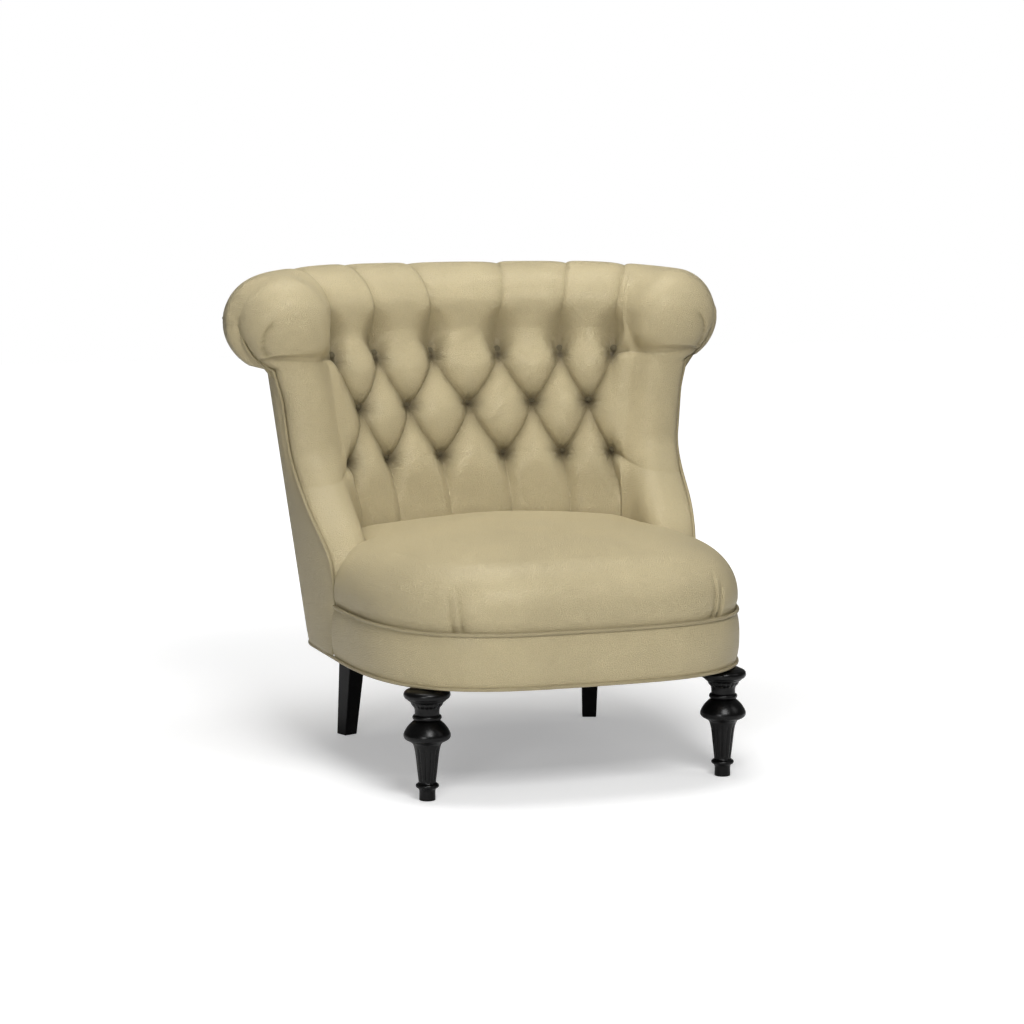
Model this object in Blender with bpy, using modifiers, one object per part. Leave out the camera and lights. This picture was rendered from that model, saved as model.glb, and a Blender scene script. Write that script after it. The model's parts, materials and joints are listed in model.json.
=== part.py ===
"""Low tufted leather chair: a curved, rolled back on a wooden frame, a crowned seat on zigzag springs,
two turned front legs and two square raked back legs.

Metres, +Z up. The chair faces -Y, the floor is z = 0, and the centre plane is x = 0.
"""

import math

import bmesh
import bpy
from mathutils import Vector

# Clearances between pieces that touch on the real chair
GAP = 0.0003
SOFT_GAP = 0.0006

# Moves the whole chair so that the origin is under the middle of its footprint
CENTRE_SHIFT = -0.0023

# Base outline, at the underside of the seat frame
FRAME_BOTTOM = 0.1845
BASE_HALF_WIDTH = 0.3285
FRONT_DEPTH = 0.389
FRONT_CENTRE_Y = -0.0115
FRONT_EXPONENT = 3.37
BASE_REAR_Y = 0.2635
OUTER_BACK_RADIUS = 0.705
OUTER_CORNER_RADIUS = 0.13

# Legs
FRONT_LEG_X = BASE_HALF_WIDTH - 0.0705
FRONT_LEG_Y = FRONT_CENTRE_Y - FRONT_DEPTH + 0.089
TORUS_RADIUS = 0.0376
COVE_RADIUS = 0.0198
RING_RADIUS = 0.0237
BALL_RADIUS = 0.0375
NECK_RADIUS = 0.0215
ANKLE_RADIUS = 0.0139
ANKLE_Z = 0.0285
FOOT_RING_RADIUS = 0.0188
FOOT_RADIUS = 0.0128
REAR_LEG_X = BASE_HALF_WIDTH - 0.1042
REAR_LEG_Y = BASE_REAR_Y - 0.066
REAR_LEG_TOP_SIDE = 0.036
REAR_LEG_FOOT_SIDE = 0.0255
REAR_LEG_RAKE_BACK = 0.0235
REAR_LEG_RAKE_OUT = 0.0073
REAR_LEG_TURN = math.radians(20)
BOLT_RADIUS = 0.004
BOLT_IN_LEG = 0.042
BOLT_IN_BLOCK = 0.046
BOLT_HOLE_CLEARANCE = 0.0004

# Seat
RAIL_HEIGHT = 0.070
RAIL_TOP = FRAME_BOTTOM + RAIL_HEIGHT
RAIL_THICKNESS = 0.025
RAIL_INSET = 0.0125
BACK_RAIL_INSET = 0.0082
BACK_RAIL_THICKNESS = 0.034
BLOCK_INSET = 0.070
FRONT_RAIL_REACH = 0.195
FRONT_BLOCK_REACH = 0.370
SIDE_RAIL_REACH = 0.735
REAR_BLOCK_REACH = 0.905
BAND_BOTTOM = FRAME_BOTTOM + 0.0055
SEAT_WELT_Z = RAIL_TOP + 0.0185
BAND_BULGE = 0.0045
BAND_THICKNESS = 0.0115
BAND_END_CLEAR = 0.0014
DECK_THICKNESS = 0.003
DECK_INSET = 0.046
DUST_COVER_THICKNESS = 0.0008
DUST_COVER_INSET = 0.016
SPRING_WIRE_RADIUS = 0.0018
SPRING_SPACING = 0.115
SPRING_LOOP_WIDTH = 0.046
SPRING_LOOPS = 17
SPRING_COUNT = 4
SPRING_RISE = 0.008
SEAT_CROWN_Z = RAIL_TOP + 0.1525
SEAT_EDGE_Z = RAIL_TOP + 0.1295
SEAT_EDGE_RADIUS = 0.085
SEAT_SIDE_BULGE = 0.004
SEAT_CREASE = 0.0018

# Welts
WELT_RADIUS = 0.0032

# Back: the outside surface leans out from the base, the tufted surface is at the depth of the buttons
SIDE_LEAN = 0.1085
BACK_LEAN = 0.19
EDGE_LOW_Y = FRONT_CENTRE_Y - 0.010
EDGE_HIGH_Y = FRONT_CENTRE_Y + 0.141
EDGE_SWEEP_LOW_Z = RAIL_TOP + 0.0785
EDGE_SWEEP_HIGH_Z = RAIL_TOP + 0.2805
EDGE_SWEEP_EASE = 0.92
EDGE_LEAN = 0.096
EDGE_NARROWING = 0.005
EDGE_WAIST = 0.010
EDGE_FLARE = 0.007
INNER_REF_Z = RAIL_TOP + 0.2435
INNER_HALF_WIDTH = BASE_HALF_WIDTH - 0.0385
INNER_REAR_Y = BASE_REAR_Y - 0.0483
INNER_LEAN = 0.216
INNER_BACK_RADIUS = OUTER_BACK_RADIUS - 0.105
INNER_CORNER_RADIUS = OUTER_CORNER_RADIUS - 0.090
INNER_SIDE_LEAN = 0.120
PANEL_THICKNESS = 0.0022
POST_THICKNESS = 0.034
POST_TRIM = 0.0030
POST_SETBACK = 0.004
POST_WIDTH = 0.045
STILE_WIDTH = 0.045
STILE_COLUMN = 4.2
TACK_RAIL_HEIGHT = 0.075
TACK_RAIL_COLUMN = 5.0
WEBBING_THICKNESS = 0.0014
WEBBING_WIDTH = 0.050
WEBBING_LOW_Z = RAIL_TOP + 0.0375
WEBBING_COLUMNS = (-3.0, -1.0, 1.0, 3.0)
BURLAP_THICKNESS = 0.0008
BURLAP_COLUMN = 5.0
PAD_LOW_RISE = 0.018
PAD_CLEAN_Z = RAIL_TOP + 0.1505
PAD_TOP_Z = RAIL_TOP + 0.4293
PAD_RISES = (0.0785, 0.0955, 0.1155, 0.1335, 0.1505, 0.1755, 0.1995, 0.2215)
WING_REACH = 0.008
WING_NOSE_LOW = 0.010
WING_NOSE_HIGH = 0.026

# Tufting: rows count down from the roll, columns count half steps from the middle
TOP_ROW_Z = RAIL_TOP + 0.4215
ROW_PITCH = 0.089
ROWS_BELOW_TOP = 2
COLUMN_STEP = 0.0635
COLUMN_CLOSING = 0.002
COLUMN_SPREAD = 0.3
LAST_COLUMN = 5
EDGE_COLUMN = 8
SEAM_COLUMN = 5
PLEAT_RISE = 0.016
TUFT_CREST = 0.013
TOP_ROW_FLATNESS = 0.45
WING_RISE = 0.012
BUTTON_RADIUS = 0.0082
BUTTON_CROWN = 0.0045
BUTTON_SHANK_RADIUS = 0.0018
BUTTON_STAND = 0.0142
BUTTON_CORNER_STAND = 0.0045
BUTTON_SHANK_LENGTH = 0.0099
BUTTON_PIT_GAP = 0.0004

# Roll along the top of the back
ROLL_RADIUS = 0.086
ROLL_Z = RAIL_TOP + 0.4895
ROLL_HALF_WIDTH = BASE_HALF_WIDTH + 0.041
ROLL_REAR_Y = BASE_REAR_Y + 0.055
ROLL_BACK_RADIUS = OUTER_BACK_RADIUS + 0.045
ROLL_CORNER_RADIUS = OUTER_CORNER_RADIUS - 0.045
ROLL_END_Y = EDGE_HIGH_Y + 0.0205
ROLL_END_HALF_WIDTH = BASE_HALF_WIDTH + 0.0235
ROLL_CAP_LENGTH = 0.062
ROLL_FAN = 0.018
ROLL_SPREAD = 1.1
ROLL_START = math.radians(-38)
ROLL_FRONT_SWELL = 0.13
ROLL_END_TAPER = 0.06
ROLL_END_DROP = 0.006
ROLL_END_ANGLE = math.radians(226)
ROLL_UNDER_PANEL = 0.0045
ROLL_PLEAT_LOW = 0.012
ROLL_PLEAT_TOP = 0.0035
TOP_RAIL_HEIGHT = 0.080
TOP_RAIL_COLUMN = 7.9
PANEL_WRAP_END = math.radians(182)
PANEL_WRAP_ANGLES = tuple(math.radians(degrees) for degrees in (232, 215, 198))
PANEL_SEAM_GAP = 0.01
ARMPIT_Z = RAIL_TOP + 0.3855

# Derived heights
DECK_Z = RAIL_TOP + 2 * SPRING_WIRE_RADIUS + SPRING_RISE + 2 * GAP
CUSHION_Z = DECK_Z + DECK_THICKNESS + GAP
BASE_WELT_Z = FRAME_BOTTOM + WELT_RADIUS / 2
LEG_TOP = FRAME_BOTTOM - GAP
BACK_LAYER_FRAME = PANEL_THICKNESS + SOFT_GAP
BACK_LAYER_WEBBING = BACK_LAYER_FRAME + POST_THICKNESS + GAP
BACK_LAYER_BURLAP = BACK_LAYER_WEBBING + WEBBING_THICKNESS + SOFT_GAP
BACK_LAYER_PAD = BACK_LAYER_BURLAP + BURLAP_THICKNESS + 2 * SOFT_GAP
TOP_RAIL_Z = ARMPIT_Z
EDGE_CLEAR = 2 * WELT_RADIUS + GAP
PAD_LEVELS = tuple(RAIL_TOP + rise for rise in PAD_RISES)
PANEL_LOW_LEVELS = (RAIL_TOP - 0.0145, RAIL_TOP + 0.0355)
SEAT_JOIN_Z = PAD_LEVELS[4]

LEATHER = (0.62, 0.55, 0.38, 1.0)
EBONY = (0.012, 0.011, 0.011, 1.0)
FRAME_WOOD = (0.62, 0.44, 0.27, 1.0)
STEEL = (0.55, 0.56, 0.58, 1.0)
JUTE = (0.55, 0.43, 0.27, 1.0)
BLACK_CLOTH = (0.03, 0.03, 0.03, 1.0)


def clear_scene():
    for obj in list(bpy.data.objects):
        bpy.data.objects.remove(obj, do_unlink=True)


def new_collection(name):
    collection = bpy.data.collections.new(name)
    bpy.context.scene.collection.children.link(collection)
    return collection


def material(name, colour, roughness, metallic=0.0):
    made = bpy.data.materials.get(name)
    if made is None:
        made = bpy.data.materials.new(name)
        made.use_nodes = True
        shader = made.node_tree.nodes["Principled BSDF"]
        shader.inputs["Base Color"].default_value = colour
        shader.inputs["Roughness"].default_value = roughness
        shader.inputs["Metallic"].default_value = metallic
    return made


def leather():
    return material("leather", LEATHER, 0.45)


def ebony():
    return material("ebonised_wood", EBONY, 0.35)


def frame_wood():
    return material("frame_wood", FRAME_WOOD, 0.7)


def steel():
    return material("spring_steel", STEEL, 0.35, 1.0)


def jute():
    return material("jute", JUTE, 0.9)


def black_cloth():
    return material("dust_cloth", BLACK_CLOTH, 0.95)


def smoothstep(value):
    value = min(max(value, 0.0), 1.0)
    return value * value * (3 - 2 * value)


def mix(a, b, share):
    return a + (b - a) * share


def mirrored(points):
    return [Vector((-p.x, *p[1:])) for p in points]


def add_object(name, data, collection, finish):
    obj = bpy.data.objects.new(name, data)
    obj.data.materials.append(finish)
    collection.objects.link(obj)
    return obj


def bake_curve(obj, collection):
    """A mesh object of the curve's evaluated shape, in the curve's place."""
    graph = bpy.context.evaluated_depsgraph_get()
    bpy.context.view_layer.update()
    mesh = bpy.data.meshes.new_from_object(obj.evaluated_get(graph))
    work = bmesh.new()
    work.from_mesh(mesh)
    bmesh.ops.remove_doubles(work, verts=work.verts, dist=1e-5)
    work.to_mesh(mesh)
    work.free()
    name = obj.name
    place = obj.matrix_world.copy()
    bpy.data.objects.remove(obj, do_unlink=True)
    baked = bpy.data.objects.new(name, mesh)
    baked.matrix_world = place
    collection.objects.link(baked)
    return baked


def prism(name, points, low, high, collection, finish):
    """A flat outline in plan, extruded between two heights."""
    curve = bpy.data.curves.new(name, "CURVE")
    curve.dimensions = "2D"
    curve.fill_mode = "BOTH"
    curve.extrude = (high - low) / 2
    spline = curve.splines.new("POLY")
    spline.points.add(len(points) - 1)
    for place, point in zip(spline.points, points):
        place.co = (point[0], point[1], 0, 1)
    spline.use_cyclic_u = True
    obj = add_object(name, curve, collection, finish)
    obj.location.z = (low + high) / 2
    return obj


def tube(name, points, radius, collection, finish, sides=6, closed=False):
    """A round cord or wire along a line of points."""
    curve = bpy.data.curves.new(name, "CURVE")
    curve.dimensions = "3D"
    curve.bevel_depth = radius
    curve.bevel_resolution = (sides - 4) // 2
    curve.use_fill_caps = not closed
    spline = curve.splines.new("POLY")
    spline.points.add(len(points) - 1)
    for place, point in zip(spline.points, points):
        place.co = (*point, 1)
    spline.use_cyclic_u = closed
    return add_object(name, curve, collection, finish)


def loft(name, rings, collection, finish, smooth_angle=40):
    """A closed solid skinned over rings of the same number of points, with flat end caps."""
    work = bmesh.new()
    rows = [[work.verts.new(point) for point in ring] for ring in rings]
    for first, second in zip(rows, rows[1:]):
        for i in range(len(first)):
            j = (i + 1) % len(first)
            work.faces.new((first[i], first[j], second[j], second[i]))
    work.faces.new(rows[0])
    work.faces.new(list(reversed(rows[-1])))
    bmesh.ops.recalc_face_normals(work, faces=work.faces)
    mesh = bpy.data.meshes.new(name)
    work.to_mesh(mesh)
    work.free()
    mesh.shade_smooth()
    mesh.set_sharp_from_angle(angle=math.radians(smooth_angle))
    return add_object(name, mesh, collection, finish)


def shell(name, outside, inside, collection, finish):
    """A thin closed sheet between two grids of points of the same size."""
    work = bmesh.new()
    outer = [[work.verts.new(point) for point in row] for row in outside]
    inner = [[work.verts.new(point) for point in row] for row in inside]
    for grid in (outer, inner):
        for first, second in zip(grid, grid[1:]):
            for i in range(len(first) - 1):
                work.faces.new((first[i], first[i + 1], second[i + 1], second[i]))
    border = [grid_border(outer), grid_border(inner)]
    for i in range(len(border[0])):
        j = (i + 1) % len(border[0])
        work.faces.new((border[0][i], border[0][j], border[1][j], border[1][i]))
    bmesh.ops.recalc_face_normals(work, faces=work.faces)
    mesh = bpy.data.meshes.new(name)
    work.to_mesh(mesh)
    work.free()
    mesh.shade_smooth()
    mesh.set_sharp_from_angle(angle=math.radians(50))
    return add_object(name, mesh, collection, finish)


def grid_border(grid):
    right = [row[-1] for row in grid[1:-1]]
    left = [row[0] for row in grid[1:-1]]
    return [*grid[0], *right, *reversed(grid[-1]), *reversed(left)]


def turned(name, profile, steps, collection, finish):
    """A turned piece from (radius, height) pairs that run down its outside."""
    mesh = bpy.data.meshes.new(name)
    points = [(radius, 0, height) for radius, height in profile]
    edges = [(i, i + 1) for i in range(len(points) - 1)]
    mesh.from_pydata(points, edges, [])
    obj = add_object(name, mesh, collection, finish)
    screw = obj.modifiers.new("turn", "SCREW")
    screw.steps = steps
    screw.render_steps = steps
    screw.use_merge_vertices = True
    screw.merge_threshold = 0.00005
    return obj


def cylinder(name, radius, low, high, x, y, collection, finish, sides=12):
    work = bmesh.new()
    bmesh.ops.create_cone(
        work, cap_ends=True, segments=sides, radius1=radius, radius2=radius, depth=high - low
    )
    mesh = bpy.data.meshes.new(name)
    work.to_mesh(mesh)
    work.free()
    mesh.shade_smooth()
    mesh.set_sharp_from_angle(angle=math.radians(40))
    obj = add_object(name, mesh, collection, finish)
    obj.location = (x, y, (low + high) / 2)
    return obj


def cut(obj, cutter):
    """Removes the cutter's shape from the object, and keeps the cutter as a wire helper."""
    cutter.hide_render = True
    cutter.display_type = "WIRE"
    knife = obj.modifiers.new("cut", "BOOLEAN")
    knife.operation = "DIFFERENCE"
    knife.object = cutter


# Base outline

def even(points, count):
    """The same line as count points, evenly spaced."""
    lengths = [0.0]
    for a, b in zip(points, points[1:]):
        lengths.append(lengths[-1] + (b - a).length)
    return [along(points, lengths, lengths[-1] * i / (count - 1)) for i in range(count)]


def along(points, lengths, distance):
    distance = min(max(distance, 0.0), lengths[-1])
    for i in range(len(points) - 1):
        if distance <= lengths[i + 1]:
            share = (distance - lengths[i]) / (lengths[i + 1] - lengths[i])
            return points[i].lerp(points[i + 1], share)
    return points[-1].copy()


def stretch(points, start, end, count):
    """Count points along a line between two distances from its start."""
    lengths = [0.0]
    for a, b in zip(points, points[1:]):
        lengths.append(lengths[-1] + (b - a).length)
    return [along(points, lengths, mix(start, end, i / (count - 1))) for i in range(count)]


def half_outline(inset):
    """The right half of the base outline in plan, from the middle of the front to the middle of the back."""
    width = BASE_HALF_WIDTH - inset
    depth = FRONT_DEPTH - inset
    power = 2 / FRONT_EXPONENT
    steps = 60
    points = []
    for i in range(steps + 1):
        angle = math.pi / 2 * i / steps
        reach = math.sin(angle) ** power
        rise = math.cos(angle) ** power if i < steps else 0.0
        points.append(Vector((width * reach, FRONT_CENTRE_Y - depth * rise)))
    plan = Plan(
        width,
        BASE_REAR_Y - inset,
        OUTER_BACK_RADIUS - inset,
        OUTER_CORNER_RADIUS - inset,
        FRONT_CENTRE_Y,
        width,
    )
    for i in range(1, steps + 1):
        points.append(plan.point(3 - 3 * i / steps))
    return points


class Plan:
    """The right half of a horseshoe in plan: a wide arc at the back, a corner arc and a wing.

    Stations run from 0 at the middle of the back to 1 at the corner arc, 2 at the wing and 3 at its
    front edge.
    """

    def __init__(self, half_width, rear, back_radius, corner_radius, front, front_half_width):
        self.half_width = half_width
        self.front = front
        self.front_half_width = front_half_width
        self.back_radius = back_radius
        self.corner_radius = corner_radius
        across = half_width - corner_radius
        between = back_radius - corner_radius
        self.back_centre = rear - back_radius
        self.corner_y = self.back_centre + math.sqrt(between**2 - across**2)
        self.turn = math.atan2(across, self.corner_y - self.back_centre)
        self.lengths = (
            back_radius * self.turn,
            corner_radius * (math.pi / 2 - self.turn),
            self.corner_y - front,
        )

    def point(self, station):
        if station <= 1:
            reach = self.back_radius * self.normal(station)
            return Vector((0, self.back_centre)) + reach
        if station <= 2:
            corner = Vector((self.half_width - self.corner_radius, self.corner_y))
            return corner + self.corner_radius * self.normal(station)
        share = station - 2
        x = self.half_width - (self.half_width - self.front_half_width) * share**2
        return Vector((x, mix(self.corner_y, self.front, share)))

    def normal(self, station):
        """The outward direction in plan."""
        if station <= 1:
            angle = self.turn * station
        else:
            angle = mix(self.turn, math.pi / 2, min(station - 1, 1))
        return Vector((math.sin(angle), math.cos(angle)))

    def seam_length(self):
        """Length from the middle of the back to the seam, half way round the corner."""
        return self.lengths[0] + self.lengths[1] / 2

    def station(self, length):
        """The station at a distance along the curve from the middle of the back."""
        for i, part in enumerate(self.lengths):
            if length <= part or i == 2:
                return i + min(length / part, 1.0)
            length -= part
        return 3.0


# Back surface

def edge_share(z):
    share = (z - EDGE_SWEEP_LOW_Z) / (EDGE_SWEEP_HIGH_Z - EDGE_SWEEP_LOW_Z)
    return smoothstep(max(share, 0.0) ** EDGE_SWEEP_EASE)


def edge_y(z):
    """Where the wing's front edge stands at a height."""
    return mix(EDGE_LOW_Y, EDGE_HIGH_Y, edge_share(z)) + EDGE_LEAN * max(z - EDGE_SWEEP_HIGH_Z, 0.0)


def outer_plan(z):
    rise = z - FRAME_BOTTOM
    width = BASE_HALF_WIDTH + SIDE_LEAN * rise
    waist = smoothstep(rise / 0.09) * (1 - smoothstep((z - EDGE_SWEEP_LOW_Z) / 0.10))
    narrowing = EDGE_NARROWING + EDGE_WAIST * waist - EDGE_FLARE * smoothstep((z - ARMPIT_Z + 0.04) / 0.06)
    rear = BASE_REAR_Y + BACK_LEAN * rise
    return Plan(width, rear, OUTER_BACK_RADIUS, OUTER_CORNER_RADIUS, edge_y(z), width - narrowing)


def inner_plan(z):
    """Plan of the tufted side at the depth of the buttons; below the seat it stays upright."""
    rise = max(z, PAD_CLEAN_Z) - INNER_REF_Z
    width = INNER_HALF_WIDTH + INNER_SIDE_LEAN * rise
    rear = INNER_REAR_Y + INNER_LEAN * rise
    front = edge_y(max(z, PAD_CLEAN_Z)) - WING_REACH
    return Plan(width, rear, INNER_BACK_RADIUS, INNER_CORNER_RADIUS, front, width)


def column_length(column, z):
    """Distance along the tufted side from the middle of the back to a column."""
    length = COLUMN_STEP * column - COLUMN_CLOSING * column**2
    return length * (1 + COLUMN_SPREAD * (z - TOP_ROW_Z + ROW_PITCH))


def inner_point(column, z, rise):
    """A point that stands inwards of the button plane; below the seat the wings keep to the front edge."""
    inner = inner_plan(z)
    side = -1 if column < 0 else 1
    column = abs(column)
    length = column_length(min(column, LAST_COLUMN), max(z, PAD_CLEAN_Z))
    if column > LAST_COLUMN:
        share = (column - LAST_COLUMN) / (EDGE_COLUMN - LAST_COLUMN)
        length = mix(length, sum(inner.lengths), share)
    station = inner.station(length)
    place = inner.point(station) - inner.normal(station) * rise
    if z < PAD_CLEAN_Z:
        place.y += (edge_y(z) - WING_REACH - inner.front) * smoothstep(station - 2)
    return Vector((side * place.x, place.y, z))


def spread_length(plan, column):
    """Even spacing of columns out to the corner seam, and on to the front edge."""
    seam = plan.seam_length()
    if column <= SEAM_COLUMN:
        return seam * column / SEAM_COLUMN
    share = (column - SEAM_COLUMN) / (EDGE_COLUMN - SEAM_COLUMN)
    return mix(seam, sum(plan.lengths), share)


def frame_point(column, z, depth):
    """A point at a depth square to the outside surface in plan."""
    outer = outer_plan(z)
    station = outer.station(spread_length(outer, abs(column)))
    place = outer.point(station) - outer.normal(station) * depth
    side = -1 if column < 0 else 1
    return Vector((side * place.x, place.y, z))


def edge_point(side, z, depth, forward):
    """A point beside the wing's front edge."""
    place = frame_point(side * EDGE_COLUMN, z, depth)
    return Vector((place.x, edge_y(z) - forward, z))


def tuft_rise(column, z):
    """How far the padded surface stands inwards of the button plane."""
    column = abs(column)
    row = (TOP_ROW_Z - z) / ROW_PITCH
    held = min(max(row, 0.0), ROWS_BELOW_TOP)
    first = abs(math.cos(math.pi / 2 * (column + held)))
    second = abs(math.cos(math.pi / 2 * (column - held)))
    line = 1 - (1 - first) * (1 - second)
    rise = PLEAT_RISE * line + TUFT_CREST * (first * second) ** 0.6
    border = LAST_COLUMN - 1 + abs(held - 1)
    if column > border:
        along_border = abs(math.cos(math.pi * (border - LAST_COLUMN)))
        at_border = PLEAT_RISE * along_border if 0 < held < ROWS_BELOW_TOP else 0.0
        rise = mix(WING_RISE, at_border, math.exp(-(column - border) / 0.7))
    if row < 1:
        rise *= mix(TOP_ROW_FLATNESS, 1.0, smoothstep(max(row, 0.0)))
    if row > ROWS_BELOW_TOP:
        full = PAD_LOW_RISE
        last_row_z = TOP_ROW_Z - ROWS_BELOW_TOP * ROW_PITCH
        fade = smoothstep((last_row_z - z) / (last_row_z - PAD_CLEAN_Z))
        rise = mix(rise, full, fade)
    return rise


def wing_nose(z):
    return mix(WING_NOSE_LOW, WING_NOSE_HIGH, edge_share(z))


# Roll

def roll_plan():
    return Plan(
        ROLL_HALF_WIDTH,
        ROLL_REAR_Y,
        ROLL_BACK_RADIUS,
        ROLL_CORNER_RADIUS,
        ROLL_END_Y,
        ROLL_END_HALF_WIDTH,
    )


def roll_station(plan, column, angle):
    """Station of a column on the roll; the pleats fan out as they climb."""
    column = abs(column)
    fan = ROLL_FAN * min(column, 1.0) * smoothstep((angle - ROLL_START) / (math.pi / 2 - ROLL_START))
    length = column_length(min(column, LAST_COLUMN), TOP_ROW_Z) * ROLL_SPREAD + fan
    if column > LAST_COLUMN:
        share = (column - LAST_COLUMN) / (EDGE_COLUMN - LAST_COLUMN)
        length = mix(length, sum(plan.lengths), share)
    return plan.station(length)


def roll_point(column, out, z, angle, forward=0.0):
    """A point beside the roll's centreline: out is the distance outwards from it."""
    plan = roll_plan()
    station = roll_station(plan, column, angle)
    place = plan.point(station) + plan.normal(station) * out
    side = -1 if column < 0 else 1
    return Vector((side * place.x, place.y - forward, z))


def roll_end_share(column):
    return smoothstep((abs(column) - 3) / (EDGE_COLUMN - 3))


def roll_z(column):
    """Height of the roll's centreline, which drops a little towards the ends."""
    return ROLL_Z - ROLL_END_DROP * roll_end_share(column)


def roll_pleat(column, angle):
    """Depth of the pleats that run over the roll from the top row of buttons."""
    if abs(column) > LAST_COLUMN:
        share = min(abs(column) - LAST_COLUMN, 1.0)
    else:
        share = abs(math.cos(math.pi / 2 * column))
    depth = mix(ROLL_PLEAT_LOW, ROLL_PLEAT_TOP, smoothstep((angle - ROLL_START) / math.radians(75)))
    depth *= 1 - smoothstep((angle - math.radians(120)) / math.radians(60))
    return depth * (1 - share)


def legs(parts, cutters):
    """Two turned front legs and two square raked back legs, each held by a hanger bolt."""
    profile = front_leg_profile()
    for side, word in ((-1, "left"), (1, "right")):
        x = side * FRONT_LEG_X
        leg = turned(f"front_leg_{word}", profile, 20, parts, ebony())
        leg.location = (x, FRONT_LEG_Y, 0)
        hanger_bolt(f"front_leg_bolt_{word}", leg, x, FRONT_LEG_Y, parts, cutters)
        rear = rear_leg(f"rear_leg_{word}", side, parts)
        hanger_bolt(f"rear_leg_bolt_{word}", rear, side * REAR_LEG_X, REAR_LEG_Y, parts, cutters)


def front_leg_profile():
    """Radius and height pairs down the turned leg: collar, torus, cove, ring, ball, tapered shaft, foot.

    The members above the shaft keep their distance from the frame, those below it from the floor.
    """
    top = LEG_TOP
    collar = TORUS_RADIUS - 0.0245
    profile = [(0.0, top), (collar, top), (collar, top - 0.0024), (TORUS_RADIUS - 0.009, top - 0.0032)]
    profile += arc_profile(TORUS_RADIUS - 0.0075, top - 0.0127, 0.0075, 75, -80, 5)
    profile += [(0.0285, top - 0.0232), (0.0235, top - 0.0302)]
    profile += [(COVE_RADIUS, top - 0.0367), (COVE_RADIUS, top - 0.0447)]
    profile += arc_profile(RING_RADIUS - 0.0045, top - 0.0512, 0.0045, 60, -60, 3)
    profile += [(0.0225, top - 0.0572), (0.0300, top - 0.0637), (0.0352, top - 0.0712)]
    profile += [(BALL_RADIUS, top - 0.0787), (0.0345, top - 0.0842), (0.0270, top - 0.0877)]
    shaft_top = top - 0.0937
    profile.append((NECK_RADIUS, shaft_top))
    profile.append((mix(NECK_RADIUS, ANKLE_RADIUS, 0.38), mix(shaft_top, ANKLE_Z, 0.17)))
    profile.append((mix(NECK_RADIUS, ANKLE_RADIUS, 0.72), mix(shaft_top, ANKLE_Z, 0.49)))
    profile.append((ANKLE_RADIUS, ANKLE_Z))
    profile += arc_profile(FOOT_RING_RADIUS - 0.0035, ANKLE_Z - 0.0065, 0.0035, 60, -60, 3)
    profile += [(FOOT_RADIUS, ANKLE_Z - 0.0115), (FOOT_RADIUS, 0.0), (0.0, 0.0)]
    return profile


def arc_profile(centre_radius, centre_z, radius, start, end, count):
    """Points of a round bead, from one elevation angle to another, in degrees."""
    points = []
    for i in range(count):
        angle = math.radians(mix(start, end, i / (count - 1)))
        points.append((centre_radius + radius * math.cos(angle), centre_z + radius * math.sin(angle)))
    return points


def rear_leg(name, side, parts):
    """A square tapered leg that rakes back and out, turned to face the middle of the chair."""
    rings = []
    for share in (0.0, 1.0):
        half = mix(REAR_LEG_FOOT_SIDE, REAR_LEG_TOP_SIDE, share) / 2
        centre = Vector(
            (
                side * (REAR_LEG_X + REAR_LEG_RAKE_OUT * (1 - share)),
                REAR_LEG_Y + REAR_LEG_RAKE_BACK * (1 - share),
            )
        )
        turn = -side * REAR_LEG_TURN
        ring = []
        for across, deep in ((-1, -1), (1, -1), (1, 1), (-1, 1)):
            x = half * (across * math.cos(turn) - deep * math.sin(turn))
            y = half * (across * math.sin(turn) + deep * math.cos(turn))
            ring.append(Vector((centre.x + x, centre.y + y, LEG_TOP * share)))
        rings.append(ring)
    return loft(name, rings, parts, ebony(), 20)


def hanger_bolt(name, leg, x, y, parts, cutters):
    low = LEG_TOP - BOLT_IN_LEG
    high = FRAME_BOTTOM + BOLT_IN_BLOCK
    cylinder(name, BOLT_RADIUS, low, high, x, y, parts, steel())
    hole = cylinder(
        name + "_hole",
        BOLT_RADIUS + BOLT_HOLE_CLEARANCE,
        low - GAP,
        high + GAP,
        x,
        y,
        cutters,
        steel(),
    )
    cut(leg, hole)


def strip_plan(start, end, near, far, count):
    """Plan outline between two insets of the base outline, over a stretch of its length."""
    scale = outline_length(near) / outline_length(0.0)
    outer = stretch(half_outline(near), start * scale, end * scale, count)
    scale = outline_length(far) / outline_length(0.0)
    inner = stretch(half_outline(far), start * scale, end * scale, count)
    return outer, inner


def outline_length(inset):
    points = half_outline(inset)
    return sum((b - a).length for a, b in zip(points, points[1:]))


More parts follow.
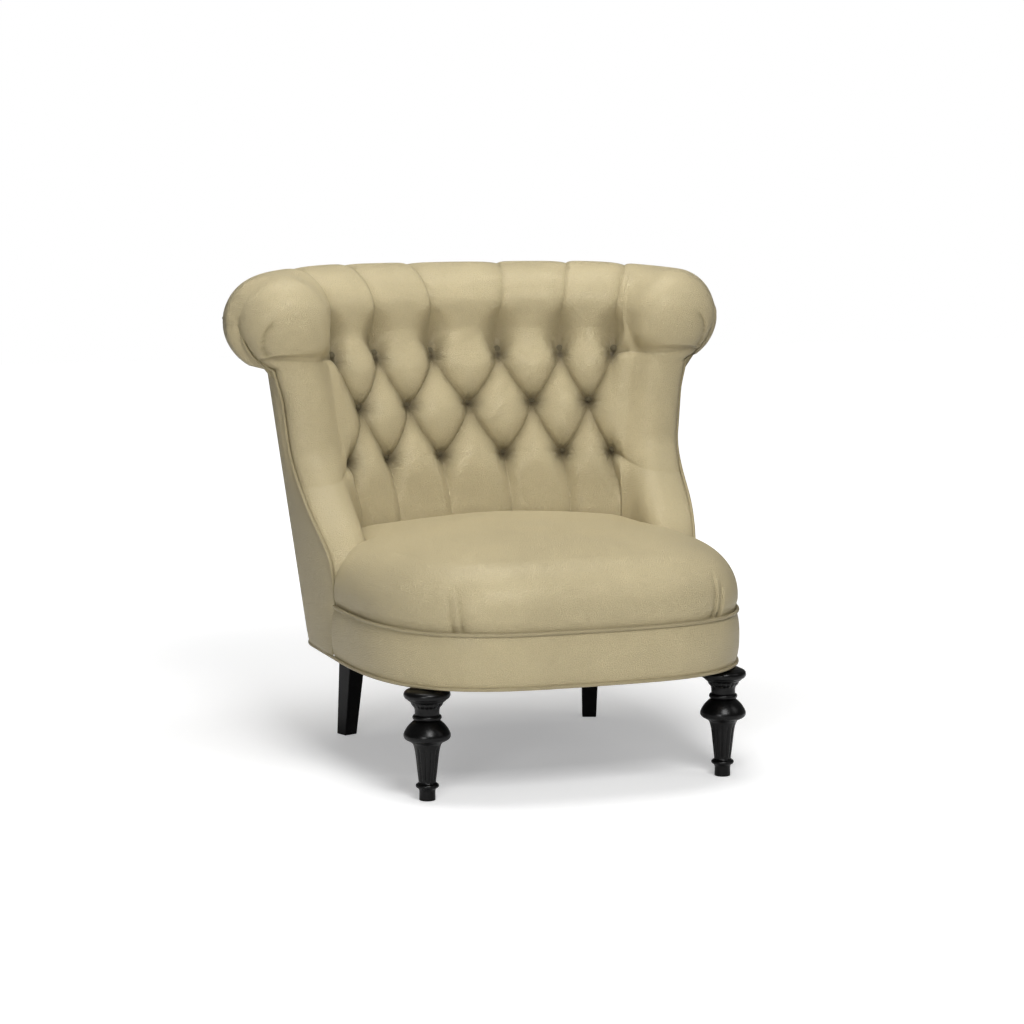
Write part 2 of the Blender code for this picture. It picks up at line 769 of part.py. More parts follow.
def seat_frame(parts, cutters):
    """Four curved rails and four corner blocks, which take the leg bolts."""
    low, high = FRAME_BOTTOM, RAIL_TOP
    far = RAIL_INSET + RAIL_THICKNESS
    half = outline_length(0.0)
    outer, inner = strip_plan(0.0, FRONT_RAIL_REACH, RAIL_INSET, far, 9)
    ring = mirrored(reversed(outer))[:-1] + outer + list(reversed(inner)) + mirrored(inner)[1:]
    prism("front_seat_rail", ring, low, high, parts, frame_wood())
    near, far = BACK_RAIL_INSET, BACK_RAIL_INSET + BACK_RAIL_THICKNESS
    outer, inner = strip_plan(REAR_BLOCK_REACH + GAP, half, near, far, 7)
    ring = outer + mirrored(reversed(outer))[1:] + mirrored(inner) + list(reversed(inner))[1:]
    prism("back_seat_rail", ring, low, high, parts, frame_wood())
    far = RAIL_INSET + RAIL_THICKNESS
    for side, word in ((-1, "left"), (1, "right")):
        outer, inner = strip_plan(FRONT_BLOCK_REACH + GAP, SIDE_RAIL_REACH, RAIL_INSET, far, 8)
        ring = outer + list(reversed(inner))
        ring = ring if side > 0 else mirrored(ring)
        prism(f"side_seat_rail_{word}", ring, low, high, parts, frame_wood())
        corner_block(
            f"front_corner_block_{word}", side, FRONT_RAIL_REACH, FRONT_BLOCK_REACH, RAIL_INSET,
            FRONT_LEG_X, FRONT_LEG_Y, parts, cutters,
        )
        corner_block(
            f"rear_corner_block_{word}", side, SIDE_RAIL_REACH, REAR_BLOCK_REACH, BACK_RAIL_INSET,
            REAR_LEG_X, REAR_LEG_Y, parts, cutters,
        )


def corner_block(name, side, start, end, near, bolt_x, bolt_y, parts, cutters):
    outer, inner = strip_plan(start + GAP, end, near, BLOCK_INSET, 8)
    ring = outer + list(reversed(inner))
    ring = ring if side > 0 else mirrored(ring)
    flat = prism(name, ring, FRAME_BOTTOM, RAIL_TOP, parts, frame_wood())
    block = bake_curve(flat, parts)
    hole = cylinder(
        name + "_hole",
        BOLT_RADIUS + BOLT_HOLE_CLEARANCE,
        FRAME_BOTTOM - BOLT_IN_LEG,
        FRAME_BOTTOM + BOLT_IN_BLOCK + 2 * GAP,
        side * bolt_x,
        bolt_y,
        cutters,
        steel(),
    )
    cut(block, hole)


def seat_springs(parts):
    """Zigzag springs from the front rail to the back rail, arched a little upwards."""
    for i in range(SPRING_COUNT):
        x = (i - (SPRING_COUNT - 1) / 2) * SPRING_SPACING
        front = outline_y(RAIL_INSET + RAIL_THICKNESS / 2, x, front=True)
        back = outline_y(BACK_RAIL_INSET + BACK_RAIL_THICKNESS - 0.007, x, front=False)
        points = []
        steps = 3 * SPRING_LOOPS
        for step in range(steps + 1):
            share = step / steps
            swing = math.sin(math.pi * SPRING_LOOPS * share)
            square = math.copysign(min(abs(swing) * 1.25, 1.0), swing)
            z = RAIL_TOP + SPRING_WIRE_RADIUS + GAP + SPRING_RISE * math.sin(math.pi * share)
            points.append((x + SPRING_LOOP_WIDTH / 2 * square, mix(front, back, share), z))
        tube(f"seat_spring_{i + 1}", points, SPRING_WIRE_RADIUS, parts, steel(), sides=4)


def outline_y(inset, x, front):
    """Where an inset of the base outline crosses the front or back, at a distance across the chair."""
    points = half_outline(inset)
    points = points if front else list(reversed(points))
    for a, b in zip(points, points[1:]):
        if a.x <= abs(x) <= b.x:
            return a.lerp(b, (abs(x) - a.x) / (b.x - a.x)).y
    return points[0].y


def seat_deck(parts):
    """Stiffened deck cloth over the springs."""
    points = even(half_outline(DECK_INSET), 26)
    ring = points + mirrored(reversed(points))[1:-1]
    prism("seat_deck", ring, DECK_Z, DECK_Z + DECK_THICKNESS, parts, jute())


def dust_cover(parts, cutters):
    """Black cloth under the frame, cut away round the legs."""
    points = even(half_outline(DUST_COVER_INSET), 24)
    ring = points + mirrored(reversed(points))[1:-1]
    high = FRAME_BOTTOM - GAP
    low = high - DUST_COVER_THICKNESS
    flat = prism("dust_cover", ring, low, high, parts, black_cloth())
    cloth = bake_curve(flat, parts)
    for side, word in ((-1, "left"), (1, "right")):
        front = cylinder(
            f"dust_cover_front_{word}_hole", TORUS_RADIUS - 0.013, low - 0.01, high + 0.01,
            side * FRONT_LEG_X, FRONT_LEG_Y, cutters, black_cloth(), 16,
        )
        cut(cloth, front)
        rear = cylinder(
            f"dust_cover_rear_{word}_hole", REAR_LEG_TOP_SIDE * 0.75, low - 0.01, high + 0.01,
            side * REAR_LEG_X, REAR_LEG_Y, cutters, black_cloth(), 16,
        )
        cut(cloth, rear)


def seat_cushion(parts, cutters):
    """Crowned seat with a rounded edge; the back and wings take their place out of it."""
    count = 25
    rings = []
    inset = WELT_RADIUS + SOFT_GAP
    wall_top = SEAT_EDGE_Z - SEAT_EDGE_RADIUS
    profile = [(inset, CUSHION_Z), (inset, SEAT_WELT_Z + WELT_RADIUS)]
    profile += [(inset - SEAT_SIDE_BULGE, mix(SEAT_WELT_Z, wall_top, 0.75))]
    for degrees in (12, 35, 58, 80):
        angle = math.radians(degrees)
        reach = SEAT_EDGE_RADIUS * (1 - math.cos(angle))
        profile.append((inset - SEAT_SIDE_BULGE + reach, wall_top + SEAT_EDGE_RADIUS * math.sin(angle)))
    for in_plan, z in profile:
        points = even(half_outline(max(in_plan, -0.001)), count)
        ring = points + mirrored(reversed(points))[1:-1]
        rings.append([Vector((p.x, p.y, z)) for p in ring])
    last = rings[-1]
    centre = sum(last, Vector()) / len(last)
    start_z = last[0].z
    for share in (0.72, 0.45, 0.18):
        z = mix(SEAT_CROWN_Z, start_z, share**2)
        rings.append([Vector((mix(centre.x, p.x, share), mix(centre.y, p.y, share), z)) for p in last])
    cushion = loft("seat_cushion", rings, parts, leather(), 60)
    cut(cushion, back_clearance(cutters))


def back_clearance(cutters):
    """Horseshoe that keeps the seat clear of the back pad, the wings and the panels."""
    wide = BASE_HALF_WIDTH + 0.1
    deep = BASE_REAR_Y + 0.2
    rings = []
    levels = [z for z in PAD_LEVELS if z <= SEAT_JOIN_Z]
    for z in (CUSHION_Z - 0.03, CUSHION_Z, *levels, SEAT_JOIN_Z + 0.08):
        shape_z = min(z, SEAT_JOIN_Z)
        inner = []
        for column in half_steps():
            inner.append(inner_point(column, shape_z, tuft_rise(column, shape_z) + SEAT_CREASE))
        front = min(edge_y(shape_z) - wing_nose(shape_z), inner[0].y) - SOFT_GAP - 0.001
        left, right = inner[0].x, inner[-1].x
        line = [(left, front), (-wide, front), (-wide, deep), (wide, deep), (wide, front), (right, front)]
        ring = [Vector((x, y, z)) for x, y in line]
        ring += [Vector((p.x, p.y, z)) for p in reversed(inner)]
        rings.append(ring)
    return loft("back_clearance", rings, cutters, leather())


def half_steps():
    """Columns across the whole back, two to a button step."""
    return [i / 2 for i in range(-2 * EDGE_COLUMN, 2 * EDGE_COLUMN + 1)]


def front_band(parts):
    """Padded leather band round the front of the seat frame, between the two welts."""
    low = BAND_BOTTOM
    high = SEAT_WELT_Z - WELT_RADIUS - GAP
    end = outline_distance(EDGE_LOW_Y - EDGE_CLEAR - BAND_END_CLEAR)
    count = 22
    heights = [(0.0, 0.0), (0.22, 0.75), (0.5, 1.0), (0.78, 0.75), (1.0, 0.0)]
    lines = []
    for share, swell in heights:
        inset = GAP - BAND_BULGE * swell + 0.001
        lines.append((inset, mix(low, high, share)))
    lines += [(BAND_THICKNESS, high), (BAND_THICKNESS, low)]
    rings = []
    for side in (-1, 1):
        for i in range(count):
            if side > 0 and i == 0:
                continue
            share = i / (count - 1)
            ring = []
            for inset, z in lines:
                scale = outline_length(inset) / outline_length(0.0)
                distance = (1 - share if side < 0 else share) * end * scale
                points = half_outline(inset)
                point = stretch(points, distance, distance, 2)[0]
                ring.append(Vector((side * point.x, point.y, z)))
            rings.append(ring)
    loft("front_band", rings, parts, leather(), 50)


def outline_distance(y):
    """Distance along the base outline from the middle of the front to where the side reaches y."""
    points = half_outline(0.0)
    travelled = 0.0
    for a, b in zip(points, points[1:]):
        if b.y >= y:
            return travelled + (b - a).length * (y - a.y) / (b.y - a.y)
        travelled += (b - a).length
    return travelled


def welts(parts):
    """Leather cords along the seams: round the base, over the band, and round the outside of the back."""
    base = even(half_outline(0.0), 33)
    ring = base + mirrored(reversed(base))[1:-1]
    tube("base_welt", [(p.x, p.y, BASE_WELT_Z) for p in ring], WELT_RADIUS, parts, leather(), closed=True)
    end = outline_distance(EDGE_LOW_Y - EDGE_CLEAR - BAND_END_CLEAR)
    right = stretch(half_outline(0.0), 0.0, end, 19)
    line = mirrored(reversed(right))[:-1] + right
    tube("seat_welt", [(p.x, p.y, SEAT_WELT_Z) for p in line], WELT_RADIUS, parts, leather())
    tube("outside_back_welt", outside_welt_line(), WELT_RADIUS, parts, leather())


def outside_welt_line():
    """Up the wing's front edge, round the end of the roll, along its back, and down the other side."""
    left = []
    bottom = BASE_WELT_Z + 2 * WELT_RADIUS + GAP
    for z in (bottom, *PANEL_LOW_LEVELS, *frame_levels(), ARMPIT_Z):
        slope = (edge_y(z + 0.002) - edge_y(z - 0.002)) / 0.004
        reach = (WELT_RADIUS + SOFT_GAP) / math.hypot(1, slope)
        place = edge_point(-1, z, 0.0, reach)
        left.append(Vector((place.x, place.y, z + slope * reach)))
    for angle in PANEL_WRAP_ANGLES:
        left.append(wrap_point(-EDGE_COLUMN, angle, 0.0, WELT_RADIUS + SOFT_GAP))
    middle = []
    for i in range(-15, 16):
        column = EDGE_COLUMN * i / 15
        forward = (WELT_RADIUS + SOFT_GAP) * (1 if abs(i) == 15 else 0)
        middle.append(roll_welt_point(column, forward))
    return left + middle + mirrored(reversed(left))


def roll_welt_point(column, forward):
    return wrap_point(column, PANEL_WRAP_END - math.radians(3.0), WELT_RADIUS * 0.2, forward)


def wrap_point(column, angle, out, forward=0.0):
    """A point on the outside panel where it curls under the roll."""
    plan = roll_plan()
    station = plan.station(spread_length(plan, abs(column)))
    radius = ROLL_RADIUS + out
    place = plan.point(station) - plan.normal(station) * radius * math.cos(angle)
    side = -1 if column < 0 else 1
    return Vector((side * place.x, place.y - forward, roll_z(column) + radius * math.sin(angle)))


def outside_panels(parts):
    """Outside back and two outside wings, from the base welt up and round the underside of the roll."""
    seam = SEAM_COLUMN
    clear = PANEL_SEAM_GAP
    whole = half_steps()
    spans = {
        "outside_back_panel": [c for c in whole if abs(c) <= seam],
        "outside_wing_right": [seam + clear, *(c for c in whole if c > seam)],
        "outside_wing_left": [*(c for c in whole if c < -seam), -seam - clear],
    }
    for name, columns in spans.items():
        outside = panel_rows(columns, 0.0)
        inside = panel_rows(columns, PANEL_THICKNESS)
        shell(name, outside, inside, parts, leather())


def panel_rows(columns, depth):
    heights = [BASE_WELT_Z + WELT_RADIUS + GAP, *PANEL_LOW_LEVELS, *frame_levels(), ARMPIT_Z]
    rows = [[frame_point(column, z, depth) for column in columns] for z in heights]
    for angle in (*PANEL_WRAP_ANGLES, PANEL_WRAP_END):
        rows.append([wrap_point(column, angle, -depth) for column in columns])
    return rows


def back_frame(parts):
    """Wing posts, back stiles, the lower rail that they stand on, and the curved top rail."""
    near = BACK_LAYER_FRAME
    far = near + POST_THICKNESS
    low_rail_top = RAIL_TOP + GAP + TACK_RAIL_HEIGHT
    for side, word in ((-1, "left"), (1, "right")):
        rings = []
        for z in (RAIL_TOP + GAP, *frame_levels(), TOP_RAIL_Z - GAP):
            rings.append(post_section(side, z, near + POST_TRIM, far - POST_TRIM))
        loft(f"wing_post_{word}", rings, parts, frame_wood(), 20)
        rings = []
        for z in (low_rail_top + GAP, TOP_RAIL_Z - GAP):
            rings.append(stile_section(side * STILE_COLUMN, z, near + POST_TRIM, far - POST_TRIM))
        loft(f"back_stile_{word}", rings, parts, frame_wood(), 20)
    curved_rail("lower_back_rail", TACK_RAIL_COLUMN, RAIL_TOP + GAP, low_rail_top, near, far, parts)
    curved_rail("top_rail", TOP_RAIL_COLUMN, TOP_RAIL_Z, TOP_RAIL_Z + TOP_RAIL_HEIGHT, near, far, parts)


def frame_levels():
    """Heights at which the frame and its covers share their sections."""
    last_row = TOP_ROW_Z - ROWS_BELOW_TOP * ROW_PITCH
    return [*PAD_LEVELS, last_row, last_row + ROW_PITCH / 2, last_row + ROW_PITCH, ARMPIT_Z - 0.030]


def post_section(side, z, near, far):
    outer = outer_plan(z)
    ring = []
    for back, depth in ((POST_SETBACK, near), (POST_WIDTH, near), (POST_WIDTH, far), (POST_SETBACK, far)):
        station = outer.station(sum(outer.lengths) - back)
        place = outer.point(station) - outer.normal(station) * depth
        ring.append(Vector((side * place.x, place.y, z)))
    return ring


def stile_section(column, z, near, far):
    """A four-sided section of an upright behind the back pad."""
    centre = frame_point(column, z, near)
    inward = frame_point(column, z, far) - centre
    across = Vector((-inward.y, inward.x, 0)).normalized() * STILE_WIDTH / 2
    return [centre - across, centre + across, centre + across + inward, centre - across + inward]


def curved_rail(name, reach, low, high, near, far, parts):
    rings = []
    columns = [-reach, *(c for c in half_steps() if abs(c) < reach), reach]
    for column in columns:
        corners = ((low, near), (low, far), (high, far), (high, near))
        rings.append([frame_point(column, z, depth) for z, depth in corners])
    loft(name, rings, parts, frame_wood(), 20)


def back_webbing(parts):
    """Jute webbing strips and burlap, tacked to the front of the back frame."""
    high = TOP_RAIL_Z + 0.030
    near, far = BACK_LAYER_WEBBING, BACK_LAYER_WEBBING + WEBBING_THICKNESS
    half = WEBBING_WIDTH / 2 / COLUMN_STEP
    for i, column in enumerate(WEBBING_COLUMNS):
        rings = []
        for z in (WEBBING_LOW_Z, high):
            columns = (column - half, column, column + half)
            ring = [frame_point(c, z, near) for c in columns]
            ring += [frame_point(c, z, far) for c in reversed(columns)]
            rings.append(ring)
        loft(f"back_webbing_{i + 1}", rings, parts, jute(), 30)
    columns = [c for c in rear_columns() if abs(c) <= BURLAP_COLUMN]
    layers = []
    for depth in (BACK_LAYER_BURLAP, BACK_LAYER_BURLAP + BURLAP_THICKNESS):
        rows = []
        for z in pad_levels()[:-1]:
            z = max(z, WEBBING_LOW_Z - 0.008)
            rows.append([frame_point(column, z, depth) for column in columns])
        layers.append(rows)
    shell("back_burlap", layers[0], layers[1], parts, jute())


def rear_columns():
    """Columns of the flat rear side of the pad: one to a button step, closer at the wings."""
    return [c for c in half_steps() if abs(c) >= LAST_COLUMN + 1 or c == int(c)]


def pad_levels():
    last_row = TOP_ROW_Z - ROWS_BELOW_TOP * ROW_PITCH
    rows = [last_row + ROW_PITCH * i / 4 for i in range(4 * ROWS_BELOW_TOP + 1)]
    return [CUSHION_Z, *PAD_LEVELS, *rows, PAD_TOP_Z]


def back_pad(parts):
    """Tufted pad: one row of points per height, round the front of the wings and back behind."""
    rings = []
    for z in pad_levels():
        front = []
        for column in half_steps():
            front.append(inner_point(column, z, tuft_rise(column, z)))
        rear = [frame_point(column, z, BACK_LAYER_PAD) for column in rear_columns()]
        rings.append(wing_front(-1, z) + front + list(reversed(wing_front(1, z))) + list(reversed(rear)))
    loft("back_pad", rings, parts, leather(), 60)


def wing_front(side, z):
    """Rounded front of a wing, from the seam on its outside to its inner face."""
    nose = wing_nose(z)
    column = side * EDGE_COLUMN
    full = abs(frame_point(column, z, 0.0).x - inner_point(column, z, tuft_rise(column, z)).x)
    clear = EDGE_CLEAR / 2 + SOFT_GAP
    places = [(clear, 0.0), (clear, min(EDGE_CLEAR + SOFT_GAP, nose * 0.8)), (full * 0.25, nose * 0.95)]
    places += [(full * 0.55, nose), (full * 0.85, mix(WING_REACH, nose, 0.7))]
    return [edge_point(side, z, depth, forward) for depth, forward in places]


def back_roll(parts):
    """Roll along the top of the back, hollow underneath where it fits over the top rail."""
    rings = [roll_cap(-1, share) for share in (1.0, 0.85, 0.62, 0.36)]
    rings += [roll_section(column) for column in half_steps()]
    rings += [roll_cap(1, share) for share in (0.36, 0.62, 0.85, 1.0)]
    loft("back_roll", rings, parts, leather(), 60)


def roll_radius(column, angle):
    low = smoothstep(angle / ROLL_START)
    tucked = smoothstep((angle - math.radians(155)) / math.radians(18))
    full = ROLL_RADIUS * (1 + ROLL_FRONT_SWELL * low) * (1 - ROLL_END_TAPER * roll_end_share(column))
    return full - roll_pleat(column, angle) - ROLL_UNDER_PANEL * tucked


def roll_angles():
    angles = [ROLL_START, *(math.radians(a) for a in (-16, 8, 34, 62, 90, 117, 143, 166, 186, 206))]
    return [*angles, ROLL_END_ANGLE]


def roll_section(column):
    ring = []
    for angle in roll_angles():
        radius = roll_radius(column, angle)
        z = max(roll_z(column) + radius * math.sin(angle), PAD_TOP_Z + SOFT_GAP)
        ring.append(roll_point(column, -radius * math.cos(angle), z, angle))
    low = ring[-1].z
    high = TOP_RAIL_Z + TOP_RAIL_HEIGHT + SOFT_GAP
    near, far = BACK_LAYER_FRAME - 2.5 * SOFT_GAP, BACK_LAYER_PAD
    ring += [frame_point(column, low, near), frame_point(column, high, near)]
    ring += [frame_point(column, high, far), frame_point(column, PAD_TOP_Z + SOFT_GAP, far)]
    return ring


def roll_cap(side, share):
    """A section of the rounded end of the roll, in front of the wing."""
    column = side * EDGE_COLUMN
    scale = math.sqrt(max(1 - share**2, 0.0004))
    forward = ROLL_CAP_LENGTH * share
    ring = []
    for angle in roll_angles():
        radius = roll_radius(column, angle) * scale
        z = max(roll_z(column) + radius * math.sin(angle), PAD_TOP_Z + SOFT_GAP)
        ring.append(roll_point(column, -radius * math.cos(angle), z, angle, forward))
    start, end = ring[0], ring[-1]
    for i in range(1, 5):
        ring.append(end.lerp(start, i / 5))
    return ring


def tuft_buttons(parts):
    """Leather covered buttons, held deep in the pad on short shanks."""
    number = 0
    for row in range(ROWS_BELOW_TOP + 1):
        z = TOP_ROW_Z - row * ROW_PITCH
        for column in range(-LAST_COLUMN, LAST_COLUMN + 1):
            if (column + row) % 2 == 0:
                continue
            number += 1
            place = inner_point(column, z, 0.0)
            axis = button_axis(column, z)
            stand = BUTTON_STAND + BUTTON_CORNER_STAND * (column / LAST_COLUMN) ** 4
            button = button_solid(f"tuft_button_{number:02d}", stand, parts)
            button.rotation_mode = "QUATERNION"
            button.rotation_quaternion = axis.to_track_quat("Z", "Y")
            button.location = place + axis * stand


def button_axis(column, z):
    """The direction that a button faces: square to the tufted side."""
    inner = inner_plan(z)
    normal = -inner.normal(inner.station(column_length(abs(column), z)))
    side = -1 if column < 0 else 1
    return Vector((side * normal.x, normal.y, INNER_LEAN)).normalized()


def button_solid(name, stand, parts):
    """Button, its tapered shank and the drawn end of its twine, which reaches down to the pit."""
    profile = [(0.0, BUTTON_CROWN), (BUTTON_RADIUS * 0.62, BUTTON_CROWN * 0.8), (BUTTON_RADIUS, 0.0)]
    profile += [(BUTTON_SHANK_RADIUS, -BUTTON_SHANK_LENGTH), (0.0, BUTTON_PIT_GAP - stand)]
    return turned(name, profile, 10, parts, leather())


def main():
    clear_scene()
    parts = new_collection("tufted_leather_chair")
    cutters = new_collection("cutters")
    cutters.hide_render = True
    legs(parts, cutters)
    seat_frame(parts, cutters)
    seat_springs(parts)
    seat_deck(parts)
    dust_cover(parts, cutters)
    seat_cushion(parts, cutters)
    front_band(parts)
    welts(parts)
    outside_panels(parts)
    back_frame(parts)
    back_webbing(parts)
    back_pad(parts)
    back_roll(parts)
    tuft_buttons(parts)
    for obj in bpy.data.objects:
        obj.location.y += CENTRE_SHIFT


main()
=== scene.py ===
"""Low tufted leather chair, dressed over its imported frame: leather covers, welts, buttons, legs and stage.

Metres, +Z up. The chair faces -Y, the floor is z = 0, and the centre plane is x = 0.
"""

import json
import math

import bmesh
import bpy
import numpy as np
from bpy.props import FloatProperty, FloatVectorProperty, PointerProperty
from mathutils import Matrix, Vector


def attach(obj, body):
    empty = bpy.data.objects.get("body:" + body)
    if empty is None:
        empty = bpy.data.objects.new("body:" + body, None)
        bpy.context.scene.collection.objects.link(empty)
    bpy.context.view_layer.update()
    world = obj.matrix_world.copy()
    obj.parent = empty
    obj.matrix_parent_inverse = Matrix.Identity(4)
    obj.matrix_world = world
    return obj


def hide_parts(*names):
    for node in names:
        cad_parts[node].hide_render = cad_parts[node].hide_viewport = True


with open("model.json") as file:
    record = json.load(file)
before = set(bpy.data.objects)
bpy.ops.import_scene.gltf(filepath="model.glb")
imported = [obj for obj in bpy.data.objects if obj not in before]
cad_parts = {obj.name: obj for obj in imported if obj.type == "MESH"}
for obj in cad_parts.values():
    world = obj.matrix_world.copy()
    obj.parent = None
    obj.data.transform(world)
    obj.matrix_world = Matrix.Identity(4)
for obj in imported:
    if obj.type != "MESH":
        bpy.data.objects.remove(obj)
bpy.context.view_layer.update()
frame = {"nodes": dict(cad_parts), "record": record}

bl_info = {
    "name": "Tufted leather chair",
    "version": (1, 0, 0),
    "blender": (4, 5, 0),
    "location": "View3D > Sidebar > Chair",
    "description": "Builds the leather, the legs and the trim of a low tufted chair over its frame",
    "category": "Add Mesh",
}

BODY = "root"
GAP = 0.0003
SOFT_GAP = 0.0006
CENTRE_SHIFT = -0.0023

# Base outline, at the underside of the seat frame
FRAME_BOTTOM = 0.1845
BASE_HALF_WIDTH = 0.3285
FRONT_DEPTH = 0.389
FRONT_CENTRE_Y = -0.0115
FRONT_EXPONENT = 3.37
BASE_REAR_Y = 0.2635
OUTER_BACK_RADIUS = 0.705
OUTER_CORNER_RADIUS = 0.13
RAIL_TOP = FRAME_BOTTOM + 0.070

# Legs
LEG_TOP = FRAME_BOTTOM - GAP
FRONT_LEG_X = 0.258
FRONT_LEG_Y = -0.3115
SHAFT_TOP = LEG_TOP - 0.0937
TORUS_RADIUS = 0.0376
COVE_RADIUS = 0.0198
RING_RADIUS = 0.0237
BALL_RADIUS = 0.0375
NECK_RADIUS = 0.0215
ANKLE_RADIUS = 0.0139
ANKLE_Z = 0.0285
FOOT_RING_RADIUS = 0.0188
FOOT_RADIUS = 0.0128
LEG_STEPS = 144
LEG_REEDS = 12
LEG_FLUTES = 18
REED_DEPTH = 0.0014
FLUTE_DEPTH = 0.0010
REAR_LEG_X = 0.2243
REAR_LEG_Y = 0.1975
REAR_LEG_TOP_SIDE = 0.036
REAR_LEG_FOOT_SIDE = 0.0255
REAR_LEG_RAKE_BACK = 0.0235
REAR_LEG_RAKE_OUT = 0.0073
REAR_LEG_TURN = math.radians(20)
REAR_LEG_EDGE = 0.0016

# Seat and band
SEAT_WELT_Z = RAIL_TOP + 0.0185
CUSHION_Z = RAIL_TOP + 0.0155
SEAT_CROWN_Z = RAIL_TOP + 0.1525
SEAT_EDGE_Z = RAIL_TOP + 0.1295
SEAT_EDGE_RADIUS = 0.085
BAND_BULGE = 0.0045
BAND_THICKNESS = 0.0115
BASE_WELT_Z = FRAME_BOTTOM + 0.0016
COVER_LOW_SHARE = 0.8

# Back: outside surface, wing edge, and tufted surface at the depth of the buttons
SIDE_LEAN = 0.1085
BACK_LEAN = 0.19
EDGE_LOW_Y = FRONT_CENTRE_Y - 0.010
EDGE_HIGH_Y = FRONT_CENTRE_Y + 0.141
EDGE_SWEEP_LOW_Z = RAIL_TOP + 0.0785
EDGE_SWEEP_HIGH_Z = RAIL_TOP + 0.2805
EDGE_LEAN = 0.096
INNER_REF_Z = RAIL_TOP + 0.2435
INNER_HALF_WIDTH = 0.290
INNER_REAR_Y = 0.2152
INNER_LEAN = 0.216
INNER_SIDE_LEAN = 0.120
INNER_BACK_RADIUS = 0.600
INNER_CORNER_RADIUS = 0.040
PAD_LOW_Z = 0.271
PAD_CLEAN_Z = RAIL_TOP + 0.1505
PAD_CLEAN_BEND = 0.022
ARMPIT_Z = RAIL_TOP + 0.3855
PANEL_THICKNESS = 0.0022
COVER_PUFF = 0.0016
FLARE_FROM = 5.6
FLARE_REACH = 0.0050
PAD_REAR_DEPTH = 0.0440
PAD_REAR_LEVELS = (0.655, 0.56, 0.46, 0.36, PAD_LOW_Z)
WING_REACH = 0.008
WING_NOSE_LOW = 0.010
WING_NOSE_HIGH = 0.026
WING_NOSE_SPARE = 0.004
WING_SIDE_SWELL = 0.007
WING_SEAM_CLEAR = 0.0038

# Tufting: rows count down from the roll, columns count half steps from the middle
TOP_ROW_Z = RAIL_TOP + 0.4215
ROW_PITCH = 0.089
COLUMN_STEP = 0.0635
COLUMN_CLOSING = 0.002
COLUMN_SPREAD = 0.3
LAST_COLUMN = 5
EDGE_COLUMN = 8
FOLD_BOW = 0.12
FOLD_DEPTH = 0.0205
HOLLOW_DEPTH = 0.027
HOLLOW_WIDTH = 0.026
# Painted shade above the top buttons, under the roll: its strength, width and height
HOLLOW_SHADE = 0.8
SHADE_WIDTH = 0.024
SHADE_TOP = 0.046
WING_FOLD_DROP = 0.036
WING_FOLD_DEPTH = 0.0085
WING_CREASE_DEPTH = 0.0060
PIT_BOTTOM = 0.003
PIT_REACH = 0.014
# Reach of the painted shade round each button's pit
PIT_SHADE_REACH = 0.018
BUTTON_CLEAR = 0.003
BUTTON_RISE = 0.012
ROW_CREASE_DEPTH = 0.0024
ROW_CREASE_LENGTH = 0.026
ROW_CREASE_WIDTH = 0.0030
PUCKER_DEPTH = 0.0009
PUCKER_PLACE = 0.013
PUCKER_WIDTH = 0.009
UNEVEN_DEPTH = 0.0008
FOLD_TURN = 0.040
FOLD_SLOPE = 0.050
WING_RISE = 0.019
HIGH_RISE = 0.023
LOW_RISE = 0.028

# Roll along the top of the back
ROLL_RADIUS = 0.086
ROLL_Z = RAIL_TOP + 0.4895
ROLL_HALF_WIDTH = 0.3695
ROLL_REAR_Y = 0.3185
ROLL_BACK_RADIUS = 0.750
ROLL_CORNER_RADIUS = 0.085
ROLL_END_Y = 0.150
ROLL_END_HALF_WIDTH = 0.352
ROLL_CAP_LENGTH = 0.060
ROLL_FAN = 0.018
ROLL_SPREAD = 1.1
ROLL_START = math.radians(-38)
ROLL_FRONT_SWELL = 0.13
ROLL_END_TAPER = 0.06
ROLL_END_DROP = 0.006
ROLL_TUCK = -0.003
ROLL_PROUD = 0.0008
PLEAT_LOW_DEPTH = 0.0100
PLEAT_TOP_DEPTH = 0.0042
PLEAT_SHARP = 0.0045
PLEAT_SOFT = 0.012
ARMPIT_DROP = 0.003
ARMPIT_TURN = math.radians(5)
ARMPIT_SEAM = math.radians(228)
COVER_ARMPIT_Z = 0.655
SEAM_RADIUS = ROLL_RADIUS + ROLL_TUCK
LAP_ANGLE = math.radians(183.5)
DOME_POWER = 2.3
DOME_LOW_SPARE = 0.0093

# Buttons, measured from the button plane
BUTTON_STAND = 0.0142
BUTTON_CORNER_STAND = 0.0045
BUTTON_SINK = 0.0118
TOP_BUTTON_SINK = 0.0035
BUTTON_CROWN = 0.55

# Seat cover; each tuck has its place round the front, its lean outwards and its top
OUTLINE_STEPS = 240
SIDE_SEAM_Y = EDGE_LOW_Y - 0.0081
SEAT_HUB_Y = -0.10
SEAT_WALL_INSET = 0.0038
SEAT_WALL_Z = SEAT_WELT_Z + 0.0012
SEAT_CREASE = 0.0018
SEAT_REAR_FILL = 0.009
SEAT_REAR_REACH = 0.16
SEAT_PULL = 0.006
SEAT_PULL_REACH = 0.010
SEAT_DIRECTIONS = 720
SEAT_TUCKS = ((0.2250, 0.017, 0.350), (0.2410, 0.011, 0.333))
TUCK_DEPTH = 0.0068
TUCK_SHARP = 0.0014
TUCK_SOFT = 0.0110

# Gather on each end of the roll, in shares of the roll's radius from its middle
GATHER_HUB = (0.22, -0.36)
GATHER_RADIUS = 0.46
GATHER_TOP = 75
GATHER_DEPTH = 0.0038
GATHER_SHARP = 0.0022
GATHER_SOFT = 0.0080

# Grid of the back cover
PAD_CUTS = 128
ROLL_LOW_SHARE = 0.34
ROLL_CUTS = 44
ROLL_HIGH_CUTS = 52
COLUMN_CUTS = 26
NOSE_COLUMNS = 1.6
NOSE_CUTS = 26

